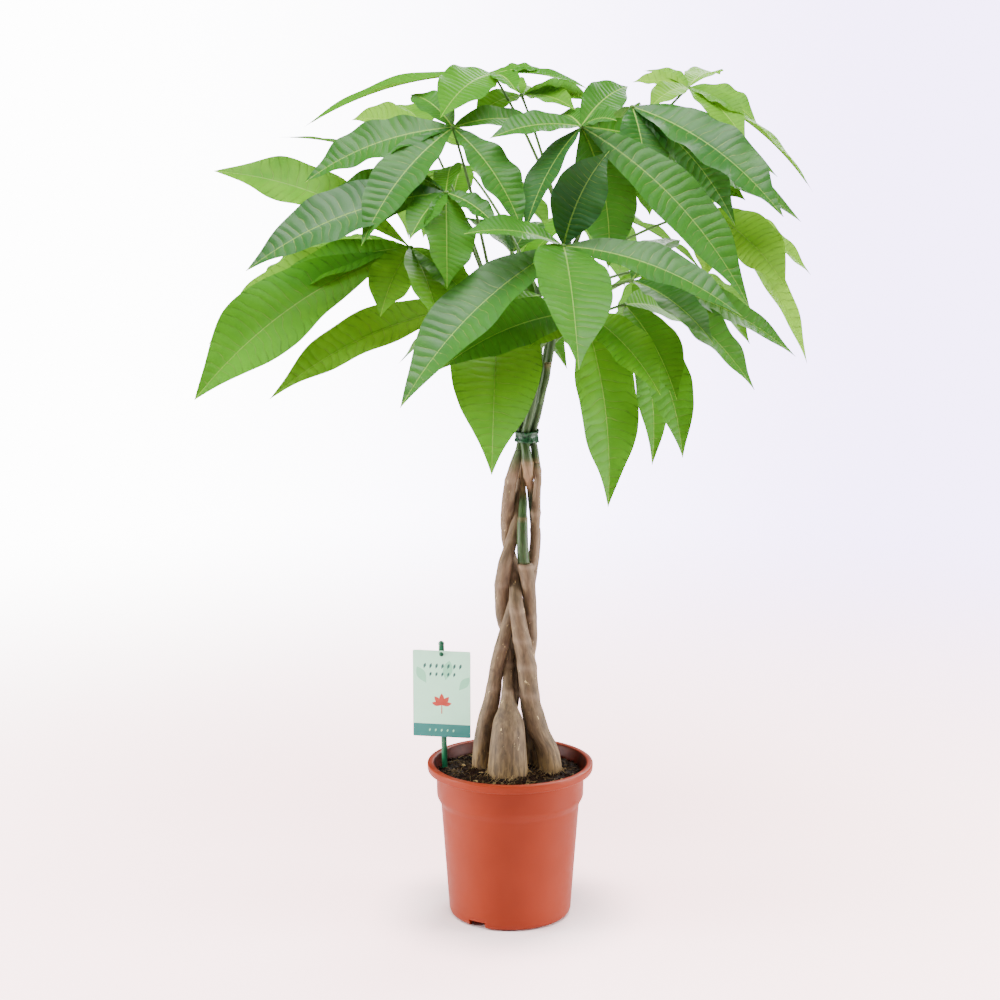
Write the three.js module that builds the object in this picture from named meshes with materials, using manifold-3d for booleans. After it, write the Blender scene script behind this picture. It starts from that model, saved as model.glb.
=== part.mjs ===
// Potted money tree: five plants with braided trunks in one plastic nursery pot,
// a tie where their green shoots begin to spread, a crown of palmate leaves,
// and a plain plant label on a stake.
// Millimetres, +Z up, origin at the middle of the pot's underside, -Y towards the front.
import * as THREE from "three";
import { mergeVertices } from "three/addons/utils/BufferGeometryUtils.js";
import Module from "manifold-3d";

const wasm = await Module();
wasm.setup();

// ---- driving dimensions ----
const clearance = 0.3; // between neighbours that touch

const potHeight = 160;
const rimRadius = 85; // outside of the lip: a 17 cm pot
const mouthRadius = 78;
const lipDepth = 8.5;
const collarRadius = 75.6;
const collarFoot = 125; // height at which the collar steps in
const bodyTopRadius = 70.9;
const bodyTop = 117;
const baseRadius = 62.8;
const wall = 1.5;
const floorHeight = 8; // underside of the raised floor
const bossRadius = 26; // flat middle that the pot rests on
const potSides = 30;
const drainHoles = 6;
const drainRadius = 4;
const drainCircle = 43;
const notchWidth = 19;
const notchHeight = 7;
const notchBearings = [-123, 57]; // degrees from +X

const soilTop = 148.5;
const soilSides = 28;

const bladeThickness = 0.8;
const leafletSteps = [[130, 3], [Infinity, 4]]; // up to each length, this many steps
const leafletArch = 0.15; // control point's lift, as a share of the length
const leafletKeel = 0.1; // how far the midrib lies below the edges, as a share of the width
const petioleFoot = 2.2;
const petioleTop = 1.5;
const petioleSides = 4;
const petioleSteps = 3;
const hubRadius = 5.2;
const leafletFoot = 2; // where a leaflet starts, measured from the hub
const leafletTip = 0.7; // half-width of the blunt tip
const usualBelly = 0.49; // where a leaflet is widest, as a share of its length

const tieLow = 490.5;
const tieHigh = 502;
const tieCentre = [16.4, 1.5];
const tieInside = [11.3, 15.4]; // half-widths along X and Y
const tieThickness = 1;
const tieSides = 20;

const cardSize = [60, 91];
const cardThickness = 0.8;
const cardCorner = 3;
const cardHoleDrop = 3.6; // hole below the card's top edge
const cardOffset = 0.2; // middle of the card from its hole, along the card
const labelTurn = -10; // degrees about the upright, right side forwards
const stakeSize = [5.6, 2.2]; // width and depth
const stakeX = -67.2;
const stakeY = 11;
const stakeLean = 1.4; // degrees to the left
const stakeFoot = 119;
const stakeTop = 279;
const pegRadius = 1.9;
const holeRadius = 2.4;
const pegHeight = 270;

// ---- the five plants ----
// Each row of a stem is a level cut through it: height, x, y and radius, from the root up.
// The trunks cross in front of and behind each other and keep clear by the braid's own turns.
const plants = {
  left: {
    bark: [
      [112, -29, 5, 3], [130, -30, 5, 8], [148, -30.2, 4, 9], [177, -29, 4, 8.8],
      [203, -24.4, 3, 8.7], [224, -18.8, 0, 8], [245, -15.7, -1, 6.7], [266, -12.6, -5, 6.6],
      [287, -7.5, -6, 6.4], [308, -1.4, -2, 6.2], [329, 4.7, -1, 5.8], [339, 9.2, 3, 5.5],
      [350, 14.2, 5, 5.2], [360, 19.2, 6, 4.9], [370, 22.8, 6, 4.6], [391, 24.7, 4, 4.1],
      [411, 25.5, 3, 4], [431, 25.9, 0, 4], [442, 26.6, -2, 4], [452, 27.3, -3, 4],
      [469, 26, -1, 4],
    ],
    green: [
      [469.3, 26, -1, 3.8], [482, 24.2, -1, 3.8], [492, 22.5, -1, 3.8], [503, 23, -1, 3.8], [515, 26, -2, 4],
      [540, 31, -4, 4.2], [570, 37, -6, 4], [610, 44, -8, 3.6], [650, 52, -10, 3],
    ],
  },
  front: {
    bark: [
      [106, -2.5, -20, 5], [124, -2.5, -20, 15], [140, -2.5, -20, 20], [154, -2.5, -20, 20.3],
      [172, -2.5, -20, 19.2], [183, -2.5, -20, 18.3], [199, -2, -19, 16.6], [209, -2, -17, 14.3],
      [219, -2, -15, 9.8], [228, -2.3, -12, 6.9], [238, -2.5, -9, 5.2], [247, -2.6, -6, 4.6],
      [266, -1.9, 3, 5], [287, -1.9, 7, 5.6], [308, -7.5, 10, 6.5], [329, -8.2, 4, 7],
      [339, -8.2, 0, 7.1], [350, -7.8, -4, 7], [360, -6.4, -7, 6.8], [370, -5, -9, 6.6],
      [380, -1.9, -7, 6.2], [391, 1.1, -4, 5.6], [401, 3.6, -1, 4.9], [411, 6.1, 3, 4.2],
      [421, 7.6, 7, 4], [431, 8.6, 9.5, 4], [442, 9.1, 12, 3.8], [452, 9.6, 13, 3.7],
    ],
    green: [
      [452.3, 9.6, 13, 3.6], [462, 10.1, 14, 3.6], [472, 9.8, 14, 3.6], [482, 12.5, 12.5, 3.5],
      [492, 14.5, 11.5, 3.5], [503, 15.2, 12.4, 3.5], [515, 16, 15, 3.5], [540, 20, 20, 3.5],
      [580, 24, 32, 3.4], [640, 28, 50, 3],
    ],
  },
  right: {
    bark: [
      [110, 42, -6, 4], [130, 42, -6, 11], [148, 40.6, -6, 12.8], [166, 38.9, -6, 12.3],
      [177, 36.4, -6, 11.8], [193, 28.7, -6, 11.5], [203, 25.4, -6, 11.4], [214, 22.6, -6, 10.9],
      [224, 20.5, -6, 9.8], [245, 18.4, -8, 9.3], [266, 16.4, -8, 9.1], [287, 12.3, -11, 8.4],
      [308, 8.7, -14, 7.6], [329, 5.7, -15, 6.6], [339, 5.2, -9, 5.8], [350, 4.6, -1, 5.3],
      [360, 3.6, 4, 5.1], [370, 1.6, 5, 5], [380, -1.4, 6, 5], [391, -3.6, 7, 5.1],
      [401, -3.4, 8, 5.6], [411, -3.4, 7.5, 6], [421, -2.8, 5, 6.1], [431, -1.8, 2, 6.3],
      [442, -0.9, 1.5, 6.2], [452, 0.6, 1, 6], [462, 3.1, -1, 5.8], [472, 5.8, -1.5, 5.2],
      [482, 9, -0.5, 4.4],
    ],
    green: [
      [482.3, 9, -0.5, 4.2], [492, 10.5, 1.5, 3.8], [503, 10, 1, 3.8], [515, 8, 0, 4], [540, 10, 0, 4],
      [575, 2, -4, 3.8], [610, -12, -8, 3.3],
    ],
  },
  back_right: {
    bark: [
      [112, 24, 16, 4], [130, 24.5, 16, 8.5], [148, 24.2, 16, 9.6], [166, 23.7, 16, 9.2],
      [177, 23.1, 15, 8.7], [193, 21, 14, 7.5], [203, 20, 14, 6.8], [224, 18.5, 13, 6.5],
      [245, 17.9, 9, 6.3], [266, 18.4, 8.5, 6.3], [287, 20.9, 5, 6.2], [308, 20.3, -1, 6.2],
      [329, 19.8, -4, 6.1], [339, 18.8, -6, 6.4], [350, 17.8, -8, 6.6], [360, 16, -9, 6.7],
      [368.5, 14.2, -9, 6.4],
    ],
    green: [
      [368.8, 13.4, -9, 6], [380, 12.5, -10, 6], [391, 12.1, -12, 5.7], [401, 12.1, -11.5, 5.5],
      [411, 12.1, -10, 5.2], [416, 12.3, -9, 4.4], [421, 12.4, -6, 4.3], [431, 12.9, -1, 4.1],
      [442, 12.6, 3.5, 3.1], [452, 12.3, 6.5, 2.6], [462, 12.5, 7, 2.8], [472, 12.5, 6, 3],
      [482, 16, 6, 3], [492, 18, 5, 3], [503, 18.6, 5.6, 3], [515, 21, 8, 3.3], [540, 27, 8, 3.6],
      [580, 36, 8, 3.6], [640, 47, 10, 3.3], [700, 60, 12, 2.8],
    ],
  },
  back: {
    bark: [
      [114, -5, 26, 4], [132, -5, 26, 8], [148, -4, 26, 9], [177, -3, 25, 8.5],
      [203, 0, 20, 7], [224, 3, 12, 6], [245, 4.5, 8, 5.8], [266, 7, 14, 5.8],
      [287, 12, 16, 5.5], [308, 16, 15.5, 5.4], [329, 18.5, 13.5, 5.3], [350, 21, 16, 5.2],
      [370, 24, 17, 5.1], [391, 25.5, 14, 5], [400, 25, 13.5, 4.9],
    ],
    green: [
      [400.3, 25, 13.5, 4.8], [411, 24, 13, 4.6], [431, 21.8, 10, 4.4], [442, 20.6, 5, 4.3],
      [452, 18.6, 0, 4.4], [462, 17.6, -5, 5.2], [472, 16.6, -7, 5.6], [482, 15.6, -9.5, 4.8],
      [492, 14, -7, 4.4], [503, 15.2, -7.8, 4.3], [515, 18, -10, 4.2], [540, 23, -14, 4], [575, 27, -18, 3.7],
      [610, 30, -26, 3.2],
    ],
  },
};
// A side shoot that was cut off short: height, x, y and radius of each level cut.
const cutStub = {
  plant: "left",
  rows: [[524, 28, -3, 2.6], [538, 31, -7, 3.2], [556, 35.5, -11, 3.3], [571, 37, -13, 3.2]],
};
const trunkSides = 9;
const shootSides = 7;

// ---- leaves ----
// Each leaf names its plant, the height at which its stalk leaves the shoot, its hub,
// and its leaflets: the tip's x, y and z, the blade's width, its roll in degrees
// and, where it isn't the usual one, the place of its belly.
const leaves = [
  { plant: "back", from: 606, hub: [49, -90, 689], leaflets: [
    [-101, -170, 547, 68, -25], [58, -250, 591, 74, -15, 0.42], [211, -145, 628, 46, 35],
    [-43, -150, 703, 38, -30], [89, -130, 777, 50, 120]] },
  { plant: "back_right", from: 696, hub: [67, -40, 799], leaflets: [
    [222, -110, 633, 54, 45], [294, 70, 705, 54, 55], [13, -85, 702, 42, 0],
    [-20, -75, 788, 34, -35], [115, 30, 838, 38, 40], [97, -100, 804, 25, 40],
    [46, 25, 810, 24, -25], [93, -50, 666, 58, 65]] },
  { plant: "right", from: 606, hub: [-55, -50, 798], leaflets: [
    [-138, -120, 691, 52, -25], [-195, -60, 747, 48, -45], [11, -95, 702, 46, 20],
    [-98, 20, 830, 34, -20], [33, 10, 800, 32, 35]] },
  { plant: "right", from: 590, hub: [-96, -40, 685], leaflets: [
    [-300, -90, 544, 80, -50, 0.6], [-286, -20, 757, 56, -45, 0.6], [-123, -90, 623, 45, -20],
    [-298, 0, 588, 64, -45, 0.55], [-34, -98, 628, 36, 20], [-66, -110, 612, 48, -10],
    [-239, -45, 633, 44, -40]] },
  { plant: "right", from: 600, hub: [-61, -80, 738], leaflets: [
    [-59, -130, 653, 54, -30], [-246, -110, 667, 60, -45], [-93, -130, 697, 34, -10],
    [-13, -110, 707, 26, 25], [-57, -10, 762, 30, -20], [-173, -40, 738, 38, -45],
    [-225, 0, 789, 24, 5]] },
  { plant: "back_right", from: 690, hub: [-17, 30, 850], leaflets: [
    [-200, 0, 799, 42, -9], [36, 40, 852, 22, 20], [76, 20, 835, 26, 15],
    [-66, -75, 807, 50, -25], [5, -30, 832, 26, 10], [-41, 110, 838, 34, 0]] },
  { plant: "back_right", from: 680, hub: [11, 50, 830], leaflets: [
    [78, 20, 825, 32, 40], [62, -10, 815, 30, 25], [7, 110, 845, 28, 35],
    [-35, 10, 808, 32, -25], [-10, 100, 848, 28, 0]] },
  { plant: "back_right", from: 670, hub: [177, 60, 838], leaflets: [
    [301, 40, 735, 34, 5], [239, 10, 804, 34, 25], [227, -10, 784, 36, 20],
    [134, 0, 816, 28, -25], [135, 100, 855, 28, -10], [122, 60, 843, 26, -35],
    [218, 150, 853, 34, 5]] },
  { plant: "left", from: 646, hub: [117, -10, 818], leaflets: [
    [254, -90, 716, 60, 30], [130, -50, 739, 50, -5],
    [215, -40, 706, 46, 40], [261, 10, 751, 34, 45], [105, 80, 792, 36, -10]] },
  { plant: "right", from: 560, hub: [-35, -10, 627], leaflets: [
    [-232, -60, 541, 58, -35], [10, 40, 578, 40, 60], [-68, -60, 593, 36, -10],
    [-57, 110, 623, 40, -25]] },
  { plant: "front", from: 630, hub: [201, 110, 715], leaflets: [
    [313, 120, 648, 44, 30], [307, 90, 559, 44, 25], [279, 60, 639, 58, 40],
    [194, 30, 649, 42, -30], [166, 60, 702, 30, -15], [248, 210, 754, 40, 0],
    [195, 220, 733, 36, 0]] },
  { plant: "left", from: 610, hub: [116, -50, 654], leaflets: [
    [273, -60, 582, 38, 35], [228, -110, 556, 46, 20], [187, -130, 601, 40, 15],
    [171, 60, 687, 38, 5]] },
  { plant: "left", from: 590, hub: [113, 10, 626], leaflets: [
    [171, -10, 476, 50, 45], [160, -60, 540, 50, 15], [143, 20, 464, 40, 80],
    [187, 110, 592, 42, 45], [115, 110, 550, 38, -35]] },
  { plant: "back", from: 585, hub: [69, -60, 625], leaflets: [
    [93, -90, 441, 66, 10, 0.44], [140, -110, 551, 46, 30], [-66, -124, 577, 52, -50],
    [17, -80, 592, 34, -45]] },
  { plant: "right", from: 545, hub: [-12, -5, 617], leaflets: [
    [-18, -180, 487, 88, -6, 0.42], [30, 30, 634, 40, 20],
    [-31, 70, 595, 36, 15], [-54, -60, 572, 34, -25]] },
  { plant: "right", from: 595, hub: [-86, 80, 796], leaflets: [
    [-158, 60, 806, 40, -40], [-103, 70, 689, 42, -10], [-73, 170, 822, 40, -20],
    [-40, 60, 777, 32, 30], [-120, 150, 822, 40, 0]] },
  { plant: "front", from: 606, hub: [2, 92, 672], leaflets: [
    [-34, 104, 588, 42, 10], [8, 84, 572, 44, 5], [52, 78, 604, 42, -10],
    [-52, 126, 708, 38, 0], [34, 140, 702, 38, 10]] },
  { plant: "left", from: 640, hub: [150, 60, 762], leaflets: [
    [235, 50, 727, 44, 50], [230, 100, 766, 40, 40], [189, 40, 693, 40, 35],
    [138, 30, 713, 38, 20], [136, 150, 786, 40, 10]] },
];

// Leaves at the back follow one rule: hub, the bearing that they face, and their longest leaflet.
const backLeaves = [
  { plant: "right", from: 575, hub: [-150, 120, 690], facing: 150, size: 150 },
  { plant: "front", from: 636, hub: [-50, 190, 760], facing: 115, size: 155 },
  { plant: "front", from: 625, hub: [85, 215, 715], facing: 70, size: 160 },
  { plant: "front", from: 612, hub: [170, 190, 650], facing: 35, size: 150 },
  { plant: "front", from: 600, hub: [0, 150, 620], facing: 100, size: 150 },
];
const backLeaflets = 5;
const backSpread = 285; // degrees from the first leaflet to the last
const backDroop = 34;
const backWidth = 0.36; // width as a share of length

const colours = {
  terracotta: 0xbf5638,
  peat: 0x34251b,
  bark: 0x9a7f63,
  shoot: 0x55804a,
  leaf: 0x4f8f3a,
  tie: 0x1f5a35,
  stake: 0x1d5a40,
  card: 0xcfeadb,
};

// ---- helpers ----
const radians = THREE.MathUtils.degToRad;

// A seeded draw in 0..1, the same on every run.
function seededDraw(seed) {
  let state = seed >>> 0;
  return () => {
    state = (state + 0x6d2b79f5) >>> 0;
    let mixed = Math.imul(state ^ (state >>> 15), state | 1);
    mixed ^= mixed + Math.imul(mixed ^ (mixed >>> 7), mixed | 61);
    return ((mixed ^ (mixed >>> 14)) >>> 0) / 4294967296;
  };
}

function finish(colour, roughness) {
  return new THREE.MeshStandardMaterial({ color: colour, roughness, metalness: 0 });
}

function solidFrom(geometry) {
  const bare = geometry.clone();
  bare.deleteAttribute("normal");
  bare.deleteAttribute("uv");
  const merged = mergeVertices(bare, 1e-4);
  return new wasm.Manifold(new wasm.Mesh({
    numProp: 3,
    vertProperties: new Float32Array(merged.attributes.position.array),
    triVerts: new Uint32Array(merged.index.array),
  }));
}

function geometryFrom(solid) {
  const mesh = solid.getMesh();
  const geometry = new THREE.BufferGeometry();
  geometry.setAttribute("position", new THREE.BufferAttribute(mesh.vertProperties, 3));
  geometry.setIndex(new THREE.BufferAttribute(mesh.triVerts, 1));
  geometry.computeVertexNormals();
  return geometry;
}

function named(name, geometry, material) {
  const mesh = new THREE.Mesh(geometry, material);
  mesh.name = name;
  return mesh;
}

// A closed skin over rings of equal point count, with a fan over each end.
function loft(rings) {
  const count = rings[0].length;
  const points = rings.flat();
  const index = [];
  for (let row = 0; row + 1 < rings.length; row++) {
    for (let side = 0; side < count; side++) {
      const next = (side + 1) % count;
      const a = row * count + side;
      const b = row * count + next;
      const c = a + count;
      const d = b + count;
      index.push(a, b, d, a, d, c);
    }
  }
  const last = (rings.length - 1) * count;
  for (let side = 1; side + 1 < count; side++) {
    index.push(0, side + 1, side);
    index.push(last, last + side, last + side + 1);
  }
  const geometry = new THREE.BufferGeometry().setFromPoints(points);
  geometry.setIndex(index);
  return geometry;
}

// A stem from its level cuts; spare widens every cut.
function stemGeometry(rows, sides, spare = 0) {
  return loft(rows.map(([z, x, y, radius]) => {
    const ring = [];
    for (let side = 0; side < sides; side++) {
      const angle = (2 * Math.PI * side) / sides;
      const reach = radius + spare;
      ring.push(new THREE.Vector3(x + reach * Math.cos(angle), y + reach * Math.sin(angle), z));
    }
    return ring;
  }));
}

// Where a stem's middle lies at a height.
function stemPoint(rows, height) {
  let row = 1;
  while (row + 1 < rows.length && rows[row][0] < height) row++;
  const [z0, x0, y0] = rows[row - 1];
  const [z1, x1, y1] = rows[row];
  const share = (height - z0) / (z1 - z0);
  return new THREE.Vector3(x0 + (x1 - x0) * share, y0 + (y1 - y0) * share, height);
}

// ---- leaf parts ----

// Half-width of a leaflet along its length: wedge-shaped foot, a belly, and a drawn-out tip.
function leafletHalf(share, width, belly) {
  const swell = Math.sin(Math.PI * share ** (Math.log(0.5) / Math.log(belly))) ** 0.9;
  const drawnOut = 1 - 0.4 * THREE.MathUtils.smoothstep(share, 0.7, 1);
  return Math.max((width / 2) * swell * drawnOut, leafletTip);
}

// The leaflet's rib is a quadratic curve, lifted off its chord away from the stem.
function leafletRib(hub, tip) {
  const chord = tip.clone().sub(hub);
  const length = chord.length();
  const along = chord.clone().normalize();
  const outward = new THREE.Vector3(chord.x, chord.y, 0);
  if (outward.lengthSq() > 0) outward.normalize();
  const lift = new THREE.Vector3(0, 0, 1).addScaledVector(outward, 0.5);
  lift.addScaledVector(along, -lift.dot(along)).normalize();
  const control = hub.clone().add(tip).multiplyScalar(0.5);
  control.addScaledVector(lift, leafletArch * length);
  return { curve: new THREE.QuadraticBezierCurve3(hub, control, tip), lift, length };
}

function leafletGeometry(hub, [x, y, z, width, roll, belly = usualBelly]) {
  const tip = new THREE.Vector3(x, y, z);
  const { curve, lift, length } = leafletRib(hub, tip);
  const [, steps] = leafletSteps.find(([limit]) => length < limit);
  const rings = Array.from({ length: steps + 1 }, (_, step) => {
    const share = THREE.MathUtils.lerp(leafletFoot / length, 1, (step / steps) ** 0.95);
    const middle = curve.getPoint(share);
    const along = curve.getTangent(share);
    const across = along.clone().cross(lift).normalize().applyAxisAngle(along, radians(roll));
    const up = across.clone().cross(along).normalize();
    const half = leafletHalf(share, width, belly);
    const edge = middle.clone().addScaledVector(up, leafletKeel * half * 2);
    const left = edge.clone().addScaledVector(across, -half);
    const right = edge.clone().addScaledVector(across, half);
    const above = [left, middle, right].map((p) => p.clone().addScaledVector(up, bladeThickness / 2));
    const below = [left, middle, right].map((p) => p.clone().addScaledVector(up, -bladeThickness / 2));
    return [...above, ...below];
  });
  const points = rings.flat();
  const index = [];
  const quad = (a, b, c, d) => index.push(a, b, c, a, c, d);
  for (let row = 0; row + 1 < rings.length; row++) {
    const here = row * 6;
    const next = here + 6;
    for (const column of [0, 1]) {
      // the upper and the lower face take the same diagonal
      quad(here + column, here + column + 1, next + column + 1, next + column);
      quad(next + column + 4, here + column + 4, here + column + 3, next + column + 3);
    }
    quad(here + 3, here, next, next + 3);
    quad(here + 2, here + 5, next + 5, next + 2);
  }
  const end = (rings.length - 1) * 6;
  quad(0, 3, 4, 1);
  quad(1, 4, 5, 2);
  quad(end, end + 1, end + 4, end + 3);
  quad(end + 1, end + 2, end + 5, end + 4);
  const geometry = new THREE.BufferGeometry().setFromPoints(points);
  geometry.setIndex(index);
  return geometry;
}

// The leaf's stalk: a tapered rod from inside the shoot to the hub, arched upwards.
function petioleGeometry(foot, hub) {
  const span = hub.distanceTo(foot);
  const control = foot.clone().lerp(hub, 0.5).add(new THREE.Vector3(0, 0, 0.12 * span));
  const curve = new THREE.QuadraticBezierCurve3(foot, control, hub);
  const frames = curve.computeFrenetFrames(petioleSteps, false);
  const rings = [];
  for (let step = 0; step <= petioleSteps; step++) {
    const share = step / petioleSteps;
    const middle = curve.getPointAt(share);
    const radius = THREE.MathUtils.lerp(petioleFoot, petioleTop, share);
    const ring = [];
    for (let side = 0; side < petioleSides; side++) {
      const angle = (2 * Math.PI * side) / petioleSides;
      ring.push(middle.clone()
        .addScaledVector(frames.normals[step], radius * Math.cos(angle))
        .addScaledVector(frames.binormals[step], radius * Math.sin(angle)));
    }
    rings.push(ring);
  }
  return loft(rings);
}

function hubGeometry(hub) {
  return new THREE.OctahedronGeometry(hubRadius, 0).translate(hub.x, hub.y, hub.z);
}

// The tips of a back leaf: a drooping fan round its hub, with small seeded differences.
function backLeafTips({ hub, facing, size }, draw) {
  const tips = [];
  for (let leaflet = 0; leaflet < backLeaflets; leaflet++) {
    const spread = (leaflet / (backLeaflets - 1) - 0.5) * backSpread;
    const length = size * (0.6 + 0.4 * Math.cos(radians(spread / 2))) * (0.92 + 0.16 * draw());
    const bearing = radians(facing + spread + 14 * (draw() - 0.5));
    const droop = radians(backDroop + 16 * (draw() - 0.5));
    tips.push([
      hub[0] + length * Math.cos(droop) * Math.cos(bearing),
      hub[1] + length * Math.cos(droop) * Math.sin(bearing),
      hub[2] - length * Math.sin(droop),
      backWidth * length,
      0,
    ]);
  }
  return tips;
}

function leafSolids({ hub, from, leaflets }, stem) {
  const centre = new THREE.Vector3(...hub);
  const pieces = [petioleGeometry(stemPoint(stem, from), centre), hubGeometry(centre)];
  for (const leaflet of leaflets) pieces.push(leafletGeometry(centre, leaflet));
  return pieces.map(solidFrom);
}

// ---- pieces ----

function potGeometry() {
  const lipUnder = potHeight - lipDepth;
  const profile = [
    [0, 0], [bossRadius, 0], [bossRadius + 3, floorHeight], [baseRadius - 5.5, floorHeight],
    [baseRadius - 1.8, 0], [baseRadius, 0],
    [bodyTopRadius, bodyTop], [collarRadius - 0.5, collarFoot], [collarRadius, lipUnder - 1],
    [rimRadius - 1, lipUnder], [rimRadius, lipUnder + 1],
    [rimRadius, potHeight - 1.2], [rimRadius - 1.2, potHeight], [mouthRadius + 1, potHeight],
    [mouthRadius, potHeight - 1], [collarRadius - wall, lipUnder - 4],
    [collarRadius - wall - 0.5, collarFoot + 0.6], [bodyTopRadius - wall, bodyTop + 0.6],
    [baseRadius - 0.9, floorHeight + wall], [bossRadius + 4.5, floorHeight + wall],
    [bossRadius + 1.5, wall], [0, wall],
  ];
  return new THREE.LatheGeometry(profile.map(([r, z]) => new THREE.Vector2(r, z)), potSides)
    .rotateX(Math.PI / 2);
}

function pot() {
  let solid = solidFrom(potGeometry());
  for (let hole = 0; hole < drainHoles; hole++) {
    const angle = (2 * Math.PI * (hole + 0.5)) / drainHoles;
    const drill = new THREE.CylinderGeometry(drainRadius, drainRadius, 12, 10)
      .rotateX(Math.PI / 2)
      .translate(drainCircle * Math.cos(angle), drainCircle * Math.sin(angle), floorHeight);
    solid = solid.subtract(solidFrom(drill));
  }
  for (const bearing of notchBearings) {
    const cutter = new THREE.BoxGeometry(14, notchWidth, 2 * notchHeight)
      .translate(baseRadius, 0, 0)
      .rotateZ(radians(bearing));
    solid = solid.subtract(solidFrom(cutter));
  }
  return named("pot", geometryFrom(solid), finish(colours.terracotta, 0.42));
}

// The soil's top: low mounds, a little higher round the trunks.
function soilHeight(x, y) {
  const radius = Math.hypot(x, y);
  const ripple = Math.sin(0.16 * x + 1.1) * Math.cos(0.14 * y - 0.6) + 0.5 * Math.sin(0.31 * x - 0.27 * y);
  return soilTop + 2.5 * Math.cos((radius / 74) * (Math.PI / 2)) + 0.9 * ripple;
}

function soilGeometry() {
  const gap = clearance;
  const wallPoints = [
    [bossRadius + 1.5 - gap, wall + gap], [bossRadius + 4.5 - gap, floorHeight + wall + gap],
    [baseRadius - 0.9 - gap, floorHeight + wall + gap], [bodyTopRadius - wall - gap, bodyTop + 0.6],
    [collarRadius - wall - 0.5 - gap, collarFoot + 0.6], [collarRadius - wall - gap, soilTop - 1.5],
  ];
  const topRadii = [60, 44, 28, 13];
  const rows = [...wallPoints, ...topRadii.map((radius) => [radius, null])];
  return loft(rows.map(([radius, height]) => {
    const ring = [];
    for (let side = 0; side < soilSides; side++) {
      const angle = (2 * Math.PI * side) / soilSides;
      const x = radius * Math.sin(angle);
      const y = -radius * Math.cos(angle);
      ring.push(new THREE.Vector3(x, y, height ?? soilHeight(x, y)));
    }
    return ring;
  }));
}

function soil() {
  let solid = solidFrom(soilGeometry());
  for (const { bark } of Object.values(plants)) {
    const hole = bark.map(([z, x, y, radius], row) => [row ? z : z - clearance, x, y, radius]);
    solid = solid.subtract(solidFrom(stemGeometry(hole, trunkSides, clearance)));
  }
  solid = solid.subtract(solidFrom(onStake(stakeBar(clearance))));
  return named("soil", geometryFrom(solid), finish(colours.peat, 0.95));
}

function trunk(name) {
  const geometry = stemGeometry(plants[name].bark, trunkSides);
  return named(`trunk_${name}`, geometry, finish(colours.bark, 0.85));
}

// One plant's green shoot with every leaf that grows from it.
function leafyShoot(name, grown) {
  const { green } = plants[name];
  let solid = solidFrom(stemGeometry(green, shootSides));
  if (name === cutStub.plant) solid = solid.add(solidFrom(stemGeometry(cutStub.rows, shootSides)));
  for (const leaf of grown.filter((one) => one.plant === name)) {
    for (const piece of leafSolids(leaf, green)) solid = solid.add(piece);
  }
  return named(`leafy_shoot_${name}`, geometryFrom(solid), finish(colours.leaf, 0.5));
}

function ellipse(halfX, halfY, shape) {
  for (let side = 0; side < tieSides; side++) {
    const angle = (2 * Math.PI * side) / tieSides;
    const x = tieCentre[0] + halfX * Math.cos(angle);
    const y = tieCentre[1] + halfY * Math.sin(angle);
    if (side) shape.lineTo(x, y);
    else shape.moveTo(x, y);
  }
  shape.closePath();
  return shape;
}

function tie() {
  const [insideX, insideY] = tieInside;
  const band = ellipse(insideX + tieThickness, insideY + tieThickness, new THREE.Shape());
  band.holes.push(ellipse(insideX, insideY, new THREE.Path()));
  const geometry = new THREE.ExtrudeGeometry(band, { depth: tieHigh - tieLow, bevelEnabled: false })
    .translate(0, 0, tieLow);
  return named("tie", geometry, finish(colours.tie, 0.35));
}

// The stake's flat bar with its pointed foot; spare widens it all round.
function stakeBar(spare = 0) {
  const half = stakeSize[0] / 2 + spare;
  const depth = stakeSize[1] + 2 * spare;
  const shoulder = stakeFoot + 12;
  const outline = new THREE.Shape([
    [-half / 3, stakeFoot - spare], [half / 3, stakeFoot - spare], [half, shoulder],
    [half, stakeTop], [-half, stakeTop], [-half, shoulder],
  ].map(([x, z]) => new THREE.Vector2(x, z)));
  return new THREE.ExtrudeGeometry(outline, { depth, bevelEnabled: false })
    .translate(0, 0, -depth / 2)
    .rotateX(Math.PI / 2);
}

// Leans and turns a piece that is drawn on the upright axis, and stands it at the stake's place.
function onStake(geometry) {
  return geometry.translate(0, 0, -soilTop)
    .rotateY(radians(-stakeLean))
    .rotateZ(radians(labelTurn))
    .translate(stakeX, stakeY, soilTop);
}

function labelStake() {
  const front = -stakeSize[1] / 2;
  const peg = new THREE.CylinderGeometry(pegRadius, pegRadius, 4, 10).translate(0, front - 1.4, pegHeight);
  const knob = new THREE.SphereGeometry(3.1, 10, 7).translate(0, 0, stakeTop + 1.5);
  const solid = [stakeBar(), peg, knob]
    .map((piece) => solidFrom(onStake(piece)))
    .reduce((whole, piece) => whole.add(piece));
  return named("label_stake", geometryFrom(solid), finish(colours.stake, 0.4));
}

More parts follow.
